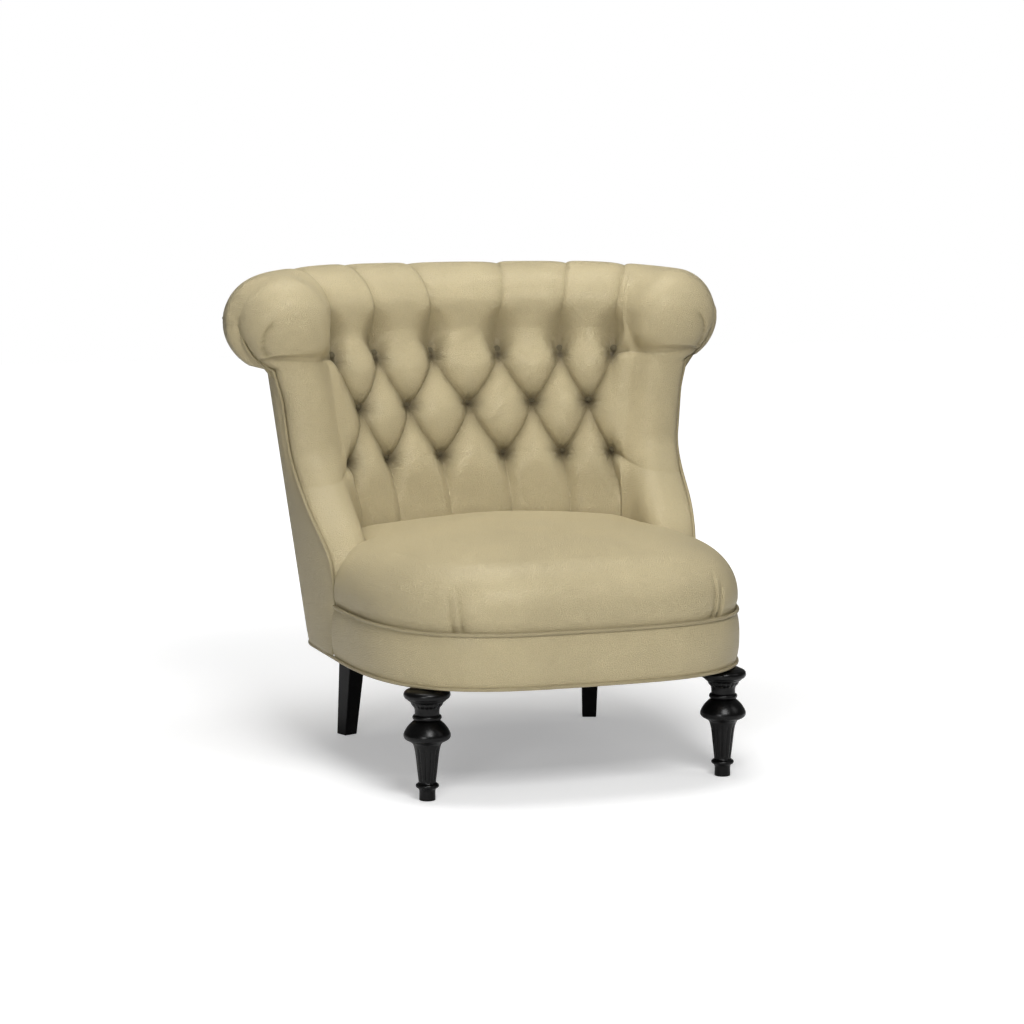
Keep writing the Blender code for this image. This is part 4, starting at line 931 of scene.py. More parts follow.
def eased(row, wanted):
    """A row of points, each softened along the row over its wanted distance, with its ends held."""
    along = travelled(row)
    even = np.linspace(0, along[-1], EASE_SAMPLES)
    line = np.column_stack([np.interp(even, along, axis) for axis in row.T])
    spare = np.vstack([2 * line[0] - line[:0:-1], line, 2 * line[-1] - line[-2::-1]])
    offsets = np.arange(EASE_SAMPLES) - EASE_SAMPLES // 2
    across = np.linspace(0, 1, EASE_SAMPLES)[:, None]
    levels = [row]
    for distance in EASE_LEVELS:
        kernel = np.exp(-0.5 * (offsets * even[1] / distance) ** 2)
        kernel /= kernel.sum()
        soft = np.column_stack([np.convolve(axis, kernel, "same") for axis in spare.T])
        soft = soft[EASE_SAMPLES - 1 : 2 * EASE_SAMPLES - 1]
        soft = soft - mix(soft[:1] - line[:1], soft[-1:] - line[-1:], across)
        levels.append(np.column_stack([np.interp(along, even, axis) for axis in soft.T]))
    place = np.interp(wanted, (0.0,) + EASE_LEVELS, np.arange(len(levels)))
    below = np.minimum(place.astype(int), len(levels) - 2)
    levels = np.array(levels)
    index = np.arange(len(row))
    return mix(levels[below, index], levels[below + 1, index], (place - below)[:, None])


def eased_ends(grid, columns, pad_count, share):
    """The cover's rows softened from the outer pleats to the seams."""
    out = np.abs(columns)
    over = np.concatenate([np.zeros(pad_count), share[:, 0]])
    crease = slice(pad_count - CREASE_ROWS_BELOW, pad_count + CREASE_ROWS_ABOVE)
    for side in (-1, 1):
        part = np.flatnonzero(side * columns >= EASE_FIRST_COLUMN)
        place = out[part]
        rise = smoothstep((place - 3.7) / 2.2) * (1 - smoothstep((place - EDGE_COLUMN - 0.8) / 0.75))
        for row, height in enumerate(over):
            on_roll = smoothstep(height / 0.15)
            inner = mix(WING_EASE, ROLL_EASE, on_roll)
            outer = mix(WING_EASE, DOME_EASE, on_roll)
            wanted = rise * mix(inner, outer, smoothstep((place - EDGE_COLUMN) / 0.7))
            wanted = wanted * (1 - 0.92 * smoothstep((height - 0.40) / 0.38))
            joined = smoothstep((height - 0.35) / 0.15) * (1 - smoothstep((height - 0.92) / 0.07))
            join = JOIN_EASE * joined * np.exp(-(((place - JOIN_COLUMN) / 0.45) ** 2))
            wanted = np.maximum(wanted, join)
            grid[row, part] = eased(grid[row, part], wanted)
        for column in part:
            line = grid[crease, column]
            along = travelled(line)
            away = np.abs(along - along[CREASE_ROWS_BELOW])
            weight = smoothstep(out[column] - LAST_COLUMN)
            weight = weight * (1 - smoothstep((out[column] - EDGE_COLUMN - 0.7) / 0.8))
            wanted = CREASE_EASE * weight * (1 - smoothstep((away - 0.015) / 0.05))
            grid[crease, column] = eased(line, wanted)
    return grid


def grid_normals(grid):
    across = np.gradient(grid, axis=1)
    up = np.gradient(grid, axis=0)
    normal = np.cross(across, up)
    return normal / np.maximum(np.linalg.norm(normal, axis=-1, keepdims=True), 1e-12)


def zipped(first, second):
    """Triangles between two lines of point numbers that run side by side."""
    faces = []
    i = 0
    j = 0
    while i < len(first) - 1 or j < len(second) - 1:
        ahead = i / max(len(first) - 1, 1) <= j / max(len(second) - 1, 1)
        if (ahead and i < len(first) - 1) or j == len(second) - 1:
            faces.append((first[i], first[i + 1], second[j]))
            i += 1
        else:
            faces.append((first[i], second[j + 1], second[j]))
            j += 1
    return faces


def cover_grid():
    """Points of the cover's front, from seam to seam and from under the seat to behind the roll, with its
    painted-shade mask and the distance to the nearest button.
    """
    inner = cover_columns()
    spread = NOSE_COLUMNS * np.arange(1, NOSE_CUTS + 1) / NOSE_CUTS
    columns = np.concatenate([(-EDGE_COLUMN - spread)[::-1], inner, EDGE_COLUMN + spread])
    middle = slice(NOSE_CUTS, -NOSE_CUTS)
    pad, pad_marks = pad_rows(columns)
    roll, roll_marks, share = roll_rows(columns)
    base = np.vstack([pad, roll])
    depth, fold, near = (np.vstack(pair) for pair in zip(pad_marks, roll_marks))
    rows = len(pad)
    for side, part in ((-1, slice(NOSE_CUTS - 1, None, -1)), (1, slice(-NOSE_CUTS, None))):
        dome, gather, mark = roll_ends(side, share)
        wing = wing_ends(pad[:, middle], side)
        base[:, part] = np.vstack([wing, dome])
        depth[rows:, part] = depth[rows:, part] + gather
        # Painted shade along the gathers of the roll's ends
        fold[rows:, part] = np.maximum(fold[rows:, part], mark)
    base = eased_ends(base, columns, rows, share)
    normal = grid_normals(base)
    inwards = normal[rows // 2, base.shape[1] // 2, 1] > 0
    normal = -normal if inwards else normal
    fade = np.minimum(1.0, (columns[-1] - np.abs(columns)) / 0.25)
    depth = depth * np.clip(fade, 0, 1)[None, :]
    return base - normal * depth[..., None], fold, near


def back_cover(finish):
    """One piece of leather: tufts, wings and roll, closed behind where nothing shows."""
    grid, fold, near = cover_grid()
    rows, columns = grid.shape[:2]
    middle = cover_columns()
    rear = [wrap_points(middle, math.radians(200), -0.016), wrap_points(middle, math.radians(222), -0.020)]
    rear += [frame_points(middle, np.full_like(middle, z), PAD_REAR_DEPTH) for z in PAD_REAR_LEVELS]
    rear = np.array(rear)
    start = rows * columns
    numbers = np.arange(start).reshape(rows, columns)
    behind = start + np.arange(rear.shape[0] * rear.shape[1]).reshape(rear.shape[:2])
    faces = grid_faces(rows, columns) + grid_faces(*rear.shape[:2], start=start)
    inner = slice(NOSE_CUTS, columns - NOSE_CUTS)
    faces += zipped(numbers[-1, inner].tolist(), behind[0].tolist())
    faces += zipped(numbers[0, inner].tolist(), behind[-1].tolist())
    left = numbers[-1, : NOSE_CUTS + 1][::-1].tolist() + numbers[-2:0:-1, 0].tolist()
    left += numbers[0, : NOSE_CUTS + 1].tolist()
    right = numbers[-1, -NOSE_CUTS - 1 :].tolist() + numbers[-2:0:-1, -1].tolist()
    right += numbers[0, -NOSE_CUTS - 1 :][::-1].tolist()
    faces += zipped(left, behind[:, 0].tolist())
    faces += zipped(right, behind[:, -1].tolist())
    points = np.vstack([grid.reshape(-1, 3), rear.reshape(-1, 3)])
    piece = mesh_piece("tufted_back_cover", points, faces, finish)
    spare = np.zeros(rear.shape[0] * rear.shape[1])
    # fold is painted shade beside folds, pleats and gathers and under the roll; gather is painted shade round
    # the pits and also places the pull wrinkles
    point_mask(piece, "fold", np.concatenate([fold.ravel(), spare]))
    point_mask(piece, "gather", np.concatenate([np.exp(-near.ravel() / PIT_SHADE_REACH), spare]))
    return piece


def point_mask(piece, name, values):
    layer = piece.data.attributes.new(name, "FLOAT", "POINT")
    layer.data.foreach_set("value", np.asarray(values, np.float32))


def shell_piece(name, outside, inside, finish, smooth_angle=180):
    """A thin closed sheet between two grids of points of the same size."""
    rows, columns = outside.shape[:2]
    count = rows * columns
    faces = grid_faces(rows, columns) + grid_faces(rows, columns, start=count)
    numbers = np.arange(count).reshape(rows, columns)
    border = [*numbers[0], *numbers[1:-1, -1], *numbers[-1, ::-1], *numbers[-2:0:-1, 0]]
    border = [int(number) for number in border]
    for first, second in zip(border, border[1:] + border[:1]):
        faces.append((first, second, second + count, first + count))
    points = np.vstack([outside.reshape(-1, 3), inside.reshape(-1, 3)])
    return mesh_piece(name, points, faces, finish, smooth_angle)


# Buttons

def button_points():
    """Place and facing direction of every button."""
    places = []
    axes = []
    for column, row in button_places():
        z = np.array([TOP_ROW_Z - row * ROW_PITCH])
        centre = np.array([float(column)])
        place = inner_points(centre, z, np.array([0.0]))[0]
        near = inner_points(centre, z, np.array([0.01]))[0]
        axis = near - place
        axis[2] = INNER_LEAN * np.linalg.norm(axis)
        axis /= np.linalg.norm(axis)
        stand = BUTTON_STAND + BUTTON_CORNER_STAND * (column / LAST_COLUMN) ** 4
        places.append(place + axis * (stand - BUTTON_SINK - (TOP_BUTTON_SINK if row == 0 else 0.0)))
        axes.append(axis)
    return np.array(places), np.array(axes)


def button_tree():
    """Domed covered buttons on points, each turned to its stored axis."""
    tree, start, end = geometry_group("covered_buttons", Radius=0.0082, Crown=0.6)
    ball = node(tree, "GeometryNodeMeshUVSphere", None, Segments=28, Rings=16, Radius=start.outputs["Radius"])
    height = node(tree, "ShaderNodeCombineXYZ", None, X=1.0, Y=1.0, Z=start.outputs["Crown"])
    flat = node(tree, "GeometryNodeTransform", None, Geometry=ball.outputs["Mesh"],
                Scale=height.outputs["Vector"])
    smooth = node(tree, "GeometryNodeSetShadeSmooth", None, Geometry=flat.outputs["Geometry"])
    axis = node(tree, "GeometryNodeInputNamedAttribute", {"data_type": "FLOAT_VECTOR"}, Name="axis")
    turn = node(tree, "FunctionNodeAlignRotationToVector", {"axis": "Z"}, Vector=axis.outputs["Attribute"])
    place = node(tree, "GeometryNodeInstanceOnPoints", None, Points=start.outputs["Geometry"],
                 Instance=smooth.outputs["Geometry"], Rotation=turn.outputs["Rotation"])
    return finished(tree, place.outputs["Instances"], start, end)


def tuft_buttons(finish):
    places, axes = button_points()
    places[:, 1] += CENTRE_SHIFT
    mesh = bpy.data.meshes.new("tuft_buttons")
    mesh.from_pydata(places.tolist(), [], [])
    layer = mesh.attributes.new("axis", "FLOAT_VECTOR", "POINT")
    layer.data.foreach_set("vector", axes.ravel())
    obj = bpy.data.objects.new("tuft_buttons", mesh)
    bpy.context.scene.collection.objects.link(obj)
    values = {"Radius": sizes().button_radius, "Crown": BUTTON_CROWN, "Material": finish}
    return nodes_result(obj, button_tree(), values)


# Seat

def polar_radius(outline, angles):
    """Distance from the seat's hub to an outline round it, in given directions."""
    offset = outline - np.array([0.0, SEAT_HUB_Y])
    around = np.arctan2(offset[:, 1], offset[:, 0])
    reach = np.hypot(offset[:, 0], offset[:, 1])
    order = np.argsort(around)
    return np.interp(angles, around[order], reach[order], period=2 * math.pi)


def back_face_outline(z):
    """Where the back, the wings' inner faces and their fronts bound the seat at a height."""
    z = min(z, PAD_CLEAN_Z)
    columns = np.linspace(-EDGE_COLUMN, EDGE_COLUMN, 640)
    level = np.full_like(columns, z)
    depth, _, _ = tuft_relief(columns, level)
    rise = tuft_height(columns, level) - depth
    inner = inner_points(columns, level, rise + SEAT_CREASE)[:, :2]
    front = min(float(edge_y(z) - wing_nose(z)), inner[0, 1]) - 0.0016
    far = np.linspace(0, 1, 160)[:, None]
    right = mix(np.array([[inner[-1, 0], front]]), np.array([[0.7, front]]), far)
    left = right * [-1, 1]
    side = mix(np.array([[0.7, front]]), np.array([[0.7, -0.9]]), far)
    ahead = mix(np.array([[0.7, -0.9]]), np.array([[-0.7, -0.9]]), far)
    return np.vstack([inner, right, side, ahead, side[::-1] * [-1, 1], left[::-1]])


def seat_profile():
    """Inset and height of the seat's rings, from the underside up its wall and round its edge."""
    wall_top = SEAT_EDGE_Z - SEAT_EDGE_RADIUS
    rows = [(SEAT_WALL_INSET, CUSHION_Z), (SEAT_WALL_INSET, SEAT_WALL_Z)]
    for share in np.linspace(0.1, 1.0, 8):
        inset = SEAT_WALL_INSET - 0.004 * smoothstep(share / 0.75)
        rows.append((inset, mix(SEAT_WALL_Z, wall_top, share)))
    for degrees in range(4, 84, 3):
        angle = math.radians(degrees)
        reach = SEAT_EDGE_RADIUS * (1 - math.cos(angle))
        rows.append((reach - 0.0002, wall_top + SEAT_EDGE_RADIUS * math.sin(angle)))
    return rows


def seat_tucks(distance, z):
    """Depth of the pairs of folds at the seat's front corners."""
    depth = np.zeros_like(distance)
    for start, lean, top in SEAT_TUCKS:
        share = (z - SEAT_WELT_Z) / (top - SEAT_WELT_Z)
        across = distance - start - lean * share**2
        fade = np.sqrt(np.clip(1 - share, 0, 1)) * np.where(share < 0, 0, 1)
        sharp = np.where(across > 0, TUCK_SHARP, TUCK_SOFT)
        depth = np.maximum(depth, TUCK_DEPTH * fade * np.exp(-np.abs(across) / sharp))
    return depth


def seat_cover(finish):
    """Crowned seat with a rounded edge, held in by the back and the wings, with tucks at its corners."""
    angles = np.linspace(-math.pi, math.pi, SEAT_DIRECTIONS, endpoint=False)
    base = mirrored_line(half_outline(0.0, OUTLINE_STEPS))
    along = travelled(base)
    from_middle = np.abs(along - along[-1] / 2)
    offset = base - np.array([0.0, SEAT_HUB_Y])
    around = np.arctan2(offset[:, 1], offset[:, 0])
    order = np.argsort(around)
    distance = np.interp(angles, around[order], from_middle[order], period=2 * math.pi)
    direction = np.stack([np.cos(angles), np.sin(angles)], -1)
    rings = []
    folds = []
    for inset, z in seat_profile():
        outline = polar_radius(mirrored_line(half_outline(max(inset, -0.001), OUTLINE_STEPS)), angles)
        limit = polar_radius(back_face_outline(z), angles)
        depth = seat_tucks(distance, np.full_like(angles, z))
        reach = np.minimum(outline - depth, limit)
        level = z - SEAT_PULL * np.exp(-(limit - reach) / SEAT_PULL_REACH) * (z > 0.34)
        rings.append(np.column_stack([direction * reach[:, None] + [0, SEAT_HUB_Y], level]))
        folds.append(np.clip(depth / TUCK_DEPTH, 0, 1))
    edge = rings[-1]
    edge_reach = np.hypot(edge[:, 0], edge[:, 1] - SEAT_HUB_Y)
    inset, low = seat_profile()[-1]
    full = polar_radius(mirrored_line(half_outline(inset, OUTLINE_STEPS)), angles)
    limit = polar_radius(back_face_outline(SEAT_CROWN_Z), angles)
    for share in np.linspace(0.97, 0.02, 40):
        reach = np.minimum(full, edge_reach) * share
        x, y = direction[:, 0] * reach, direction[:, 1] * reach
        z = mix(SEAT_CROWN_Z, low, (reach / full) ** 2)
        rear = np.exp(-((x / SEAT_REAR_REACH) ** 2)) * smoothstep(y / SEAT_REAR_REACH)
        z = z + SEAT_REAR_FILL * rear * (1 - share**6)
        z = z - SEAT_PULL * np.exp(-(limit - reach) / SEAT_PULL_REACH)
        rings.append(np.column_stack([direction * reach[:, None] + [0, SEAT_HUB_Y], z]))
        folds.append(np.zeros_like(angles))
    count = len(angles)
    points = np.vstack(rings)
    faces = grid_faces(len(rings), count, closed=True)
    points = np.vstack([points, [[0.0, SEAT_HUB_Y, SEAT_CROWN_Z]], [[0.0, SEAT_HUB_Y, CUSHION_Z]]])
    top = len(rings) * count
    last = (len(rings) - 1) * count
    for i in range(count):
        j = (i + 1) % count
        faces.append((last + i, last + j, top))
        faces.append((j, i, top + 1))
    piece = mesh_piece("seat_cover", points, faces, finish)
    # The fold attribute here is painted shade along the corner tucks
    point_mask(piece, "fold", np.concatenate([np.concatenate(folds) ** 2, [0, 0]]))
    return piece


def front_boxing(finish):
    """Padded leather band round the front of the seat frame, between the two welts."""
    low = BASE_WELT_Z + COVER_LOW_SHARE * sizes().welt_radius
    high = SEAT_WELT_Z - sizes().welt_radius - 0.0003
    whole = half_outline(0.0, OUTLINE_STEPS)
    end = outline_distance(whole, SIDE_SEAM_Y)
    shares = np.linspace(-1, 1, 321)
    lines = []
    for share in np.linspace(0, 1, 17):
        swell = 1 - abs(2 * share - 1) ** 2.4
        lines.append((GAP + 0.001 - BAND_BULGE * swell, mix(low, high, share)))
    lines += [(BAND_THICKNESS, high), (BAND_THICKNESS, low)]
    columns = []
    for inset, z in lines:
        outline = half_outline(inset, OUTLINE_STEPS)
        scale = travelled(outline)[-1] / travelled(whole)[-1]
        place = resampled(outline, np.abs(shares) * end * scale)
        x = np.where(shares < 0, -place[:, 0], place[:, 0])
        columns.append(np.column_stack([x, place[:, 1], np.full_like(x, z)]))
    grid = np.stack(columns, axis=1)
    rows, count = grid.shape[:2]
    faces = grid_faces(rows, count, closed=True)
    faces.append(tuple(range(count)))
    faces.append(tuple((rows - 1) * count + i for i in range(count))[::-1])
    return mesh_piece("front_boxing", grid.reshape(-1, 3), faces, finish, 60)


# Welts, seams and staples

def cord_tree():
    """A round leather-covered cord along the edges of a mesh line."""
    tree, start, end = geometry_group("welt_cord", Radius=0.0032, Spacing=0.003, Wrinkle=0.0002)
    curve = node(tree, "GeometryNodeMeshToCurve", None, Mesh=start.outputs["Geometry"])
    even = node(tree, "GeometryNodeResampleCurve", {"mode": "LENGTH"}, Curve=curve.outputs["Curve"],
                Length=start.outputs["Spacing"])
    ring = node(tree, "GeometryNodeCurvePrimitiveCircle", None, Resolution=14, Radius=start.outputs["Radius"])
    sweep = node(tree, "GeometryNodeCurveToMesh", None, Curve=even.outputs["Curve"],
                 Profile_Curve=ring.outputs["Curve"], Fill_Caps=True)
    noise = node(tree, "ShaderNodeTexNoise", None, Scale=320.0, Detail=1.0)
    centred = math_node(tree, "SUBTRACT", noise.outputs["Fac"], 0.5)
    amount = math_node(tree, "MULTIPLY", centred, start.outputs["Wrinkle"])
    normal = node(tree, "GeometryNodeInputNormal")
    shift = node(tree, "ShaderNodeVectorMath", {"operation": "SCALE"}, i0=normal.outputs["Normal"],
                 Scale=amount)
    move = node(tree, "GeometryNodeSetPosition", None, Geometry=sweep.outputs["Mesh"],
                Offset=shift.outputs["Vector"])
    smooth = node(tree, "GeometryNodeSetShadeSmooth", None, Geometry=move.outputs["Geometry"])
    return finished(tree, smooth.outputs["Geometry"], start, end)


def stitch_tree():
    """Short rounded stitches or staples laid end to end along a mesh line."""
    tree, start, end = geometry_group("stitch_line", Pitch=0.006, Length=0.004, Radius=0.0004)
    curve = node(tree, "GeometryNodeMeshToCurve", None, Mesh=start.outputs["Geometry"])
    even = node(tree, "GeometryNodeResampleCurve", {"mode": "LENGTH"}, Curve=curve.outputs["Curve"],
                Length=start.outputs["Pitch"])
    along = node(tree, "GeometryNodeInputTangent")
    turn = node(tree, "FunctionNodeAlignRotationToVector", {"axis": "Z"}, Vector=along.outputs["Tangent"])
    stick = node(tree, "GeometryNodeMeshCylinder", None, Vertices=6, Side_Segments=1,
                 Radius=start.outputs["Radius"], Depth=start.outputs["Length"])
    smooth = node(tree, "GeometryNodeSetShadeSmooth", None, Geometry=stick.outputs["Mesh"])
    place = node(tree, "GeometryNodeInstanceOnPoints", None, Points=even.outputs["Curve"],
                 Instance=smooth.outputs["Geometry"], Rotation=turn.outputs["Rotation"])
    return finished(tree, place.outputs["Instances"], start, end)


def shared_tree(name, build):
    """A node tree that is built once and then reused."""
    return bpy.data.node_groups.get(name) or build()


def welt(name, points, finish, closed=False):
    obj = line_object(name, points, closed)
    values = {"Radius": sizes().welt_radius, "Spacing": 0.003, "Wrinkle": 0.00025, "Material": finish}
    return nodes_result(obj, shared_tree("welt_cord", cord_tree), values)


def outside_welt_line():
    """Up the wing's front edge, round the end of the roll, along its back, and down the other side."""
    radius = sizes().welt_radius
    heights = np.linspace(BASE_WELT_Z + 2 * radius + GAP, COVER_ARMPIT_Z, 60)
    slope = (edge_y(heights + 0.002) - edge_y(heights - 0.002)) / 0.004
    reach = (radius + SOFT_GAP) / np.hypot(1, slope)
    place = frame_points(np.full_like(heights, EDGE_COLUMN), heights, -bottom_flare(EDGE_COLUMN, heights))
    side = np.column_stack([place[:, 0], edge_y(heights) - reach, heights + slope * reach])
    angles = np.radians(np.linspace(238, 184, 16))
    sunk = -2.6 * radius
    fade = smoothstep((math.radians(200) - angles) / math.radians(13))
    forward = (radius + SOFT_GAP) * (1 - fade)
    end = wrap_points(np.full_like(angles, EDGE_COLUMN), angles, sunk * fade, forward)
    columns = np.linspace(EDGE_COLUMN - 0.05, 0, 80)
    proud = mix(radius * 0.2, sunk, smoothstep((columns - 5.6) / 0.6))
    top = wrap_points(columns, np.full_like(columns, math.radians(179)), proud)
    right = np.vstack([side, end, top])[::-1]
    return mirrored_line(right)


def outline_ring(inset, z):
    half = half_outline(inset, OUTLINE_STEPS)
    half = resampled(half, np.linspace(0, travelled(half)[-1], 160))
    ring = np.vstack([half, half[-2:0:-1] * [-1, 1]])
    return np.column_stack([ring, np.full(len(ring), z)])


def seat_welt_line():
    half = half_outline(0.0, OUTLINE_STEPS)
    right = resampled(half, np.linspace(0, outline_distance(half, SIDE_SEAM_Y), 120))
    return mirrored_line(np.column_stack([right, np.full(len(right), SEAT_WELT_Z)]))


# Outside covers

def bottom_flare(column, z):
    """How far an outside wing runs out over the base welt, towards its front edge."""
    forward = np.clip((np.abs(column) - FLARE_FROM) / (EDGE_COLUMN - FLARE_FROM), 0, 1)
    return FLARE_REACH * forward * (1 - smoothstep((z - BASE_WELT_Z) / 0.030))


def cover_rows(columns, depth, puffed):
    """Rows of an outside cover, from the base welt up and round the underside of the roll."""
    rows = []
    edge = np.minimum(np.abs(columns - columns[0]), np.abs(columns - columns[-1])) * 0.06
    puffed = puffed * (1 - np.exp(-edge / 0.007))
    low = BASE_WELT_Z + COVER_LOW_SHARE * sizes().welt_radius
    for z in np.linspace(low, COVER_ARMPIT_Z, 54):
        puff = puffed * (1 - math.exp(-(z - low) / 0.008))
        rows.append(frame_points(columns, np.full_like(columns, z), depth - puff - bottom_flare(columns, z)))
    for degrees in np.linspace(238, 182, 16):
        puff = puffed * (1 - math.exp(-(degrees - 182) / 5))
        rows.append(wrap_points(columns, np.full_like(columns, math.radians(degrees)), puff - depth))
    return np.array(rows)


def outside_covers(finish):
    """Outside back and two outside wings, drawn tight over the frame."""
    seam = LAST_COLUMN
    spans = {
        "outside_back_cover": ("outside_back_panel", np.linspace(-seam, seam, 161)),
        "outside_wing_cover_right": ("outside_wing_right", np.linspace(seam + 0.01, EDGE_COLUMN, 61)),
        "outside_wing_cover_left": ("outside_wing_left", np.linspace(-EDGE_COLUMN, -seam - 0.01, 61)),
    }
    pieces = []
    for name, (solid, columns) in spans.items():
        outside = cover_rows(columns, 0.0, COVER_PUFF)
        inside = cover_rows(columns, PANEL_THICKNESS, 0.0)
        pieces.append((shell_piece(name, outside, inside, finish, 60), solid))
    return pieces


def seam_line(column, out):
    """A line up an outside seam, a little proud of the covers."""
    heights = np.linspace(BASE_WELT_Z + 0.008, COVER_ARMPIT_Z, 80)
    low = frame_points(np.full_like(heights, column), heights, -out)
    angles = np.radians(np.linspace(238, 186, 16))
    return np.vstack([low, wrap_points(np.full_like(angles, column), angles, out)])


# Legs

def arc(centre_radius, centre_z, radius, start, end, count=9):
    """Points of a round bead, from one elevation angle to another, in degrees."""
    angle = np.radians(np.linspace(start, end, count))
    return list(zip(centre_radius + radius * np.cos(angle), centre_z + radius * np.sin(angle)))


def softened(points, rounds=3):
    """The same line with its inner corners cut to a curve."""
    points = np.array(points, float)
    for _ in range(rounds):
        near = mix(points[:-1], points[1:], 0.25)
        far = mix(points[:-1], points[1:], 0.75)
        middle = np.empty((2 * len(near), 2))
        middle[0::2] = near
        middle[1::2] = far
        points = np.vstack([points[:1], middle, points[-1:]])
    return points


def front_leg_lines():
    """Radius and height down the turned leg, as separate mouldings with crisp steps between them."""
    top = LEG_TOP
    collar = TORUS_RADIUS - 0.0245
    return [
        [(0.0, top), (collar, top), (collar, top - 0.0024)],
        [(collar, top - 0.0024), (TORUS_RADIUS - 0.0105, top - 0.0030)],
        arc(TORUS_RADIUS - 0.0075, top - 0.0127, 0.0075, 86, -78, 15),
        softened([(0.0312, top - 0.0212), (0.0300, top - 0.0226), (0.0262, top - 0.0250),
                  (0.0250, top - 0.0292), (0.0212, top - 0.0330), (COVE_RADIUS, top - 0.0367),
                  (COVE_RADIUS, top - 0.0447)]),
        arc(RING_RADIUS - 0.0045, top - 0.0496, 0.0043, 88, -84, 11),
        softened([(0.0205, top - 0.0546), (0.0235, top - 0.0566), (0.0300, top - 0.0627),
                  (0.0352, top - 0.0702), (BALL_RADIUS + 0.001, top - 0.0777), (0.0365, top - 0.0842),
                  (0.0290, top - 0.0880), (0.0262, top - 0.0893)]),
        softened([(0.0262, top - 0.0893), (0.0228, top - 0.0925), (NECK_RADIUS, SHAFT_TOP - 0.003),
                  (0.0193, SHAFT_TOP - 0.0125), (0.0174, SHAFT_TOP - 0.030), (0.0158, SHAFT_TOP - 0.045),
                  (ANKLE_RADIUS, ANKLE_Z + 0.0010)]),
        arc(FOOT_RING_RADIUS - 0.0035, ANKLE_Z - 0.0050, 0.0035, 84, -84, 11),
        softened([(FOOT_RADIUS + 0.0012, ANKLE_Z - 0.0105), (FOOT_RADIUS, ANKLE_Z - 0.0130),
                  (FOOT_RADIUS + 0.0004, 0.0006)], 2),
        [(FOOT_RADIUS - 0.0004, 0.0), (0.0, 0.0)],
    ]


def front_leg(name, x, finish):
    """Turned leg with reeds down its shaft and short flutes under its collar."""
    profile = np.vstack([np.array(line) for line in front_leg_lines()])
    keep_point = np.concatenate([[True], np.linalg.norm(np.diff(profile, axis=0), axis=1) > 1e-6])
    profile = profile[keep_point]
    around = 2 * math.pi * np.arange(LEG_STEPS) / LEG_STEPS
    radius = profile[:, :1]
    z = profile[:, 1:]
    on_shaft = smoothstep((SHAFT_TOP - z) / 0.010) * smoothstep((z - ANKLE_Z - 0.002) / 0.004)
    on_cove = smoothstep((LEG_TOP - 0.0215 - z) / 0.003) * smoothstep((z - LEG_TOP + 0.036) / 0.005)
    reeds = np.abs(np.sin(around * LEG_REEDS / 2)) ** 0.6
    flutes = np.abs(np.sin(around * LEG_FLUTES / 2)) ** 0.6
    radius = radius - REED_DEPTH * on_shaft * (1 - reeds) - FLUTE_DEPTH * on_cove * (1 - flutes)
    points = np.stack([x + radius * np.cos(around), FRONT_LEG_Y + radius * np.sin(around),
                       np.broadcast_to(z, (len(z), LEG_STEPS))], -1)
    ends = np.array([[x, FRONT_LEG_Y, profile[0, 1]], [x, FRONT_LEG_Y, profile[-1, 1]]])
    body = points[1:-1]
    rows = len(body)
    faces = grid_faces(rows, LEG_STEPS, closed=True)
    top = rows * LEG_STEPS
    last = (rows - 1) * LEG_STEPS
    for i in range(LEG_STEPS):
        j = (i + 1) % LEG_STEPS
        faces.append((i, j, top))
        faces.append((last + j, last + i, top + 1))
    return mesh_piece(name, np.vstack([body.reshape(-1, 3), ends]), faces, finish, 42)


def rear_leg(name, side, finish):
    """Square tapered leg that rakes back and out, with its edges eased."""
    turn = -side * REAR_LEG_TURN
    points = []
    for share in (0.0, 1.0):
        half = mix(REAR_LEG_FOOT_SIDE, REAR_LEG_TOP_SIDE, share) / 2
        x = side * (REAR_LEG_X + REAR_LEG_RAKE_OUT * (1 - share))
        y = REAR_LEG_Y + REAR_LEG_RAKE_BACK * (1 - share)
        for across, deep in ((-1, -1), (1, -1), (1, 1), (-1, 1)):
            dx = half * (across * math.cos(turn) - deep * math.sin(turn))
            dy = half * (across * math.sin(turn) + deep * math.cos(turn))
            points.append((x + dx, y + dy, LEG_TOP * share))
    faces = [(0, 1, 2, 3), (4, 5, 6, 7), (0, 1, 5, 4), (1, 2, 6, 5), (2, 3, 7, 6), (3, 0, 4, 7)]
    leg = mesh_piece(name, points, faces, finish, 30)
    bevel = leg.modifiers.new("eased", "BEVEL")
    bevel.width = REAR_LEG_EDGE
    bevel.segments = 3
    bevel.harden_normals = True
    return baked(leg)


# Materials

def ramp_between(tree, value, low, high):
    """Maps a value to 0 below low and 1 above high, with soft ends."""
    made = node(tree, "ShaderNodeMapRange", {"interpolation_type": "SMOOTHSTEP"}, Value=value,
                From_Min=low, From_Max=high)
    return made.outputs["Result"]


def blended(tree, share, first, second):
    """A colour between two colours or sockets."""
    return node(tree, "ShaderNodeMix", {"data_type": "RGBA"}, i0=share, i6=first, i7=second).outputs[2]


def object_place(tree):
    return tree.nodes.new("ShaderNodeTexCoord").outputs["Object"]


def warped(tree, vector, scale, detail, amount):
    """A place shifted by soft noise."""
    bend = node(tree, "ShaderNodeTexNoise", None, Vector=vector, Scale=scale, Detail=detail)
    shift = node(tree, "ShaderNodeVectorMath", {"operation": "SCALE"}, i0=bend.outputs["Color"], Scale=amount)
    moved = node(tree, "ShaderNodeVectorMath", {"operation": "ADD"}, i0=vector, i1=shift.outputs["Vector"])
    return moved.outputs["Vector"]


def grouped(tree, name, build, **inputs):
    """The outputs of a shared shader node group."""
    return node(tree, "ShaderNodeGroup", {"node_tree": shared_tree(name, build)}, **inputs).outputs


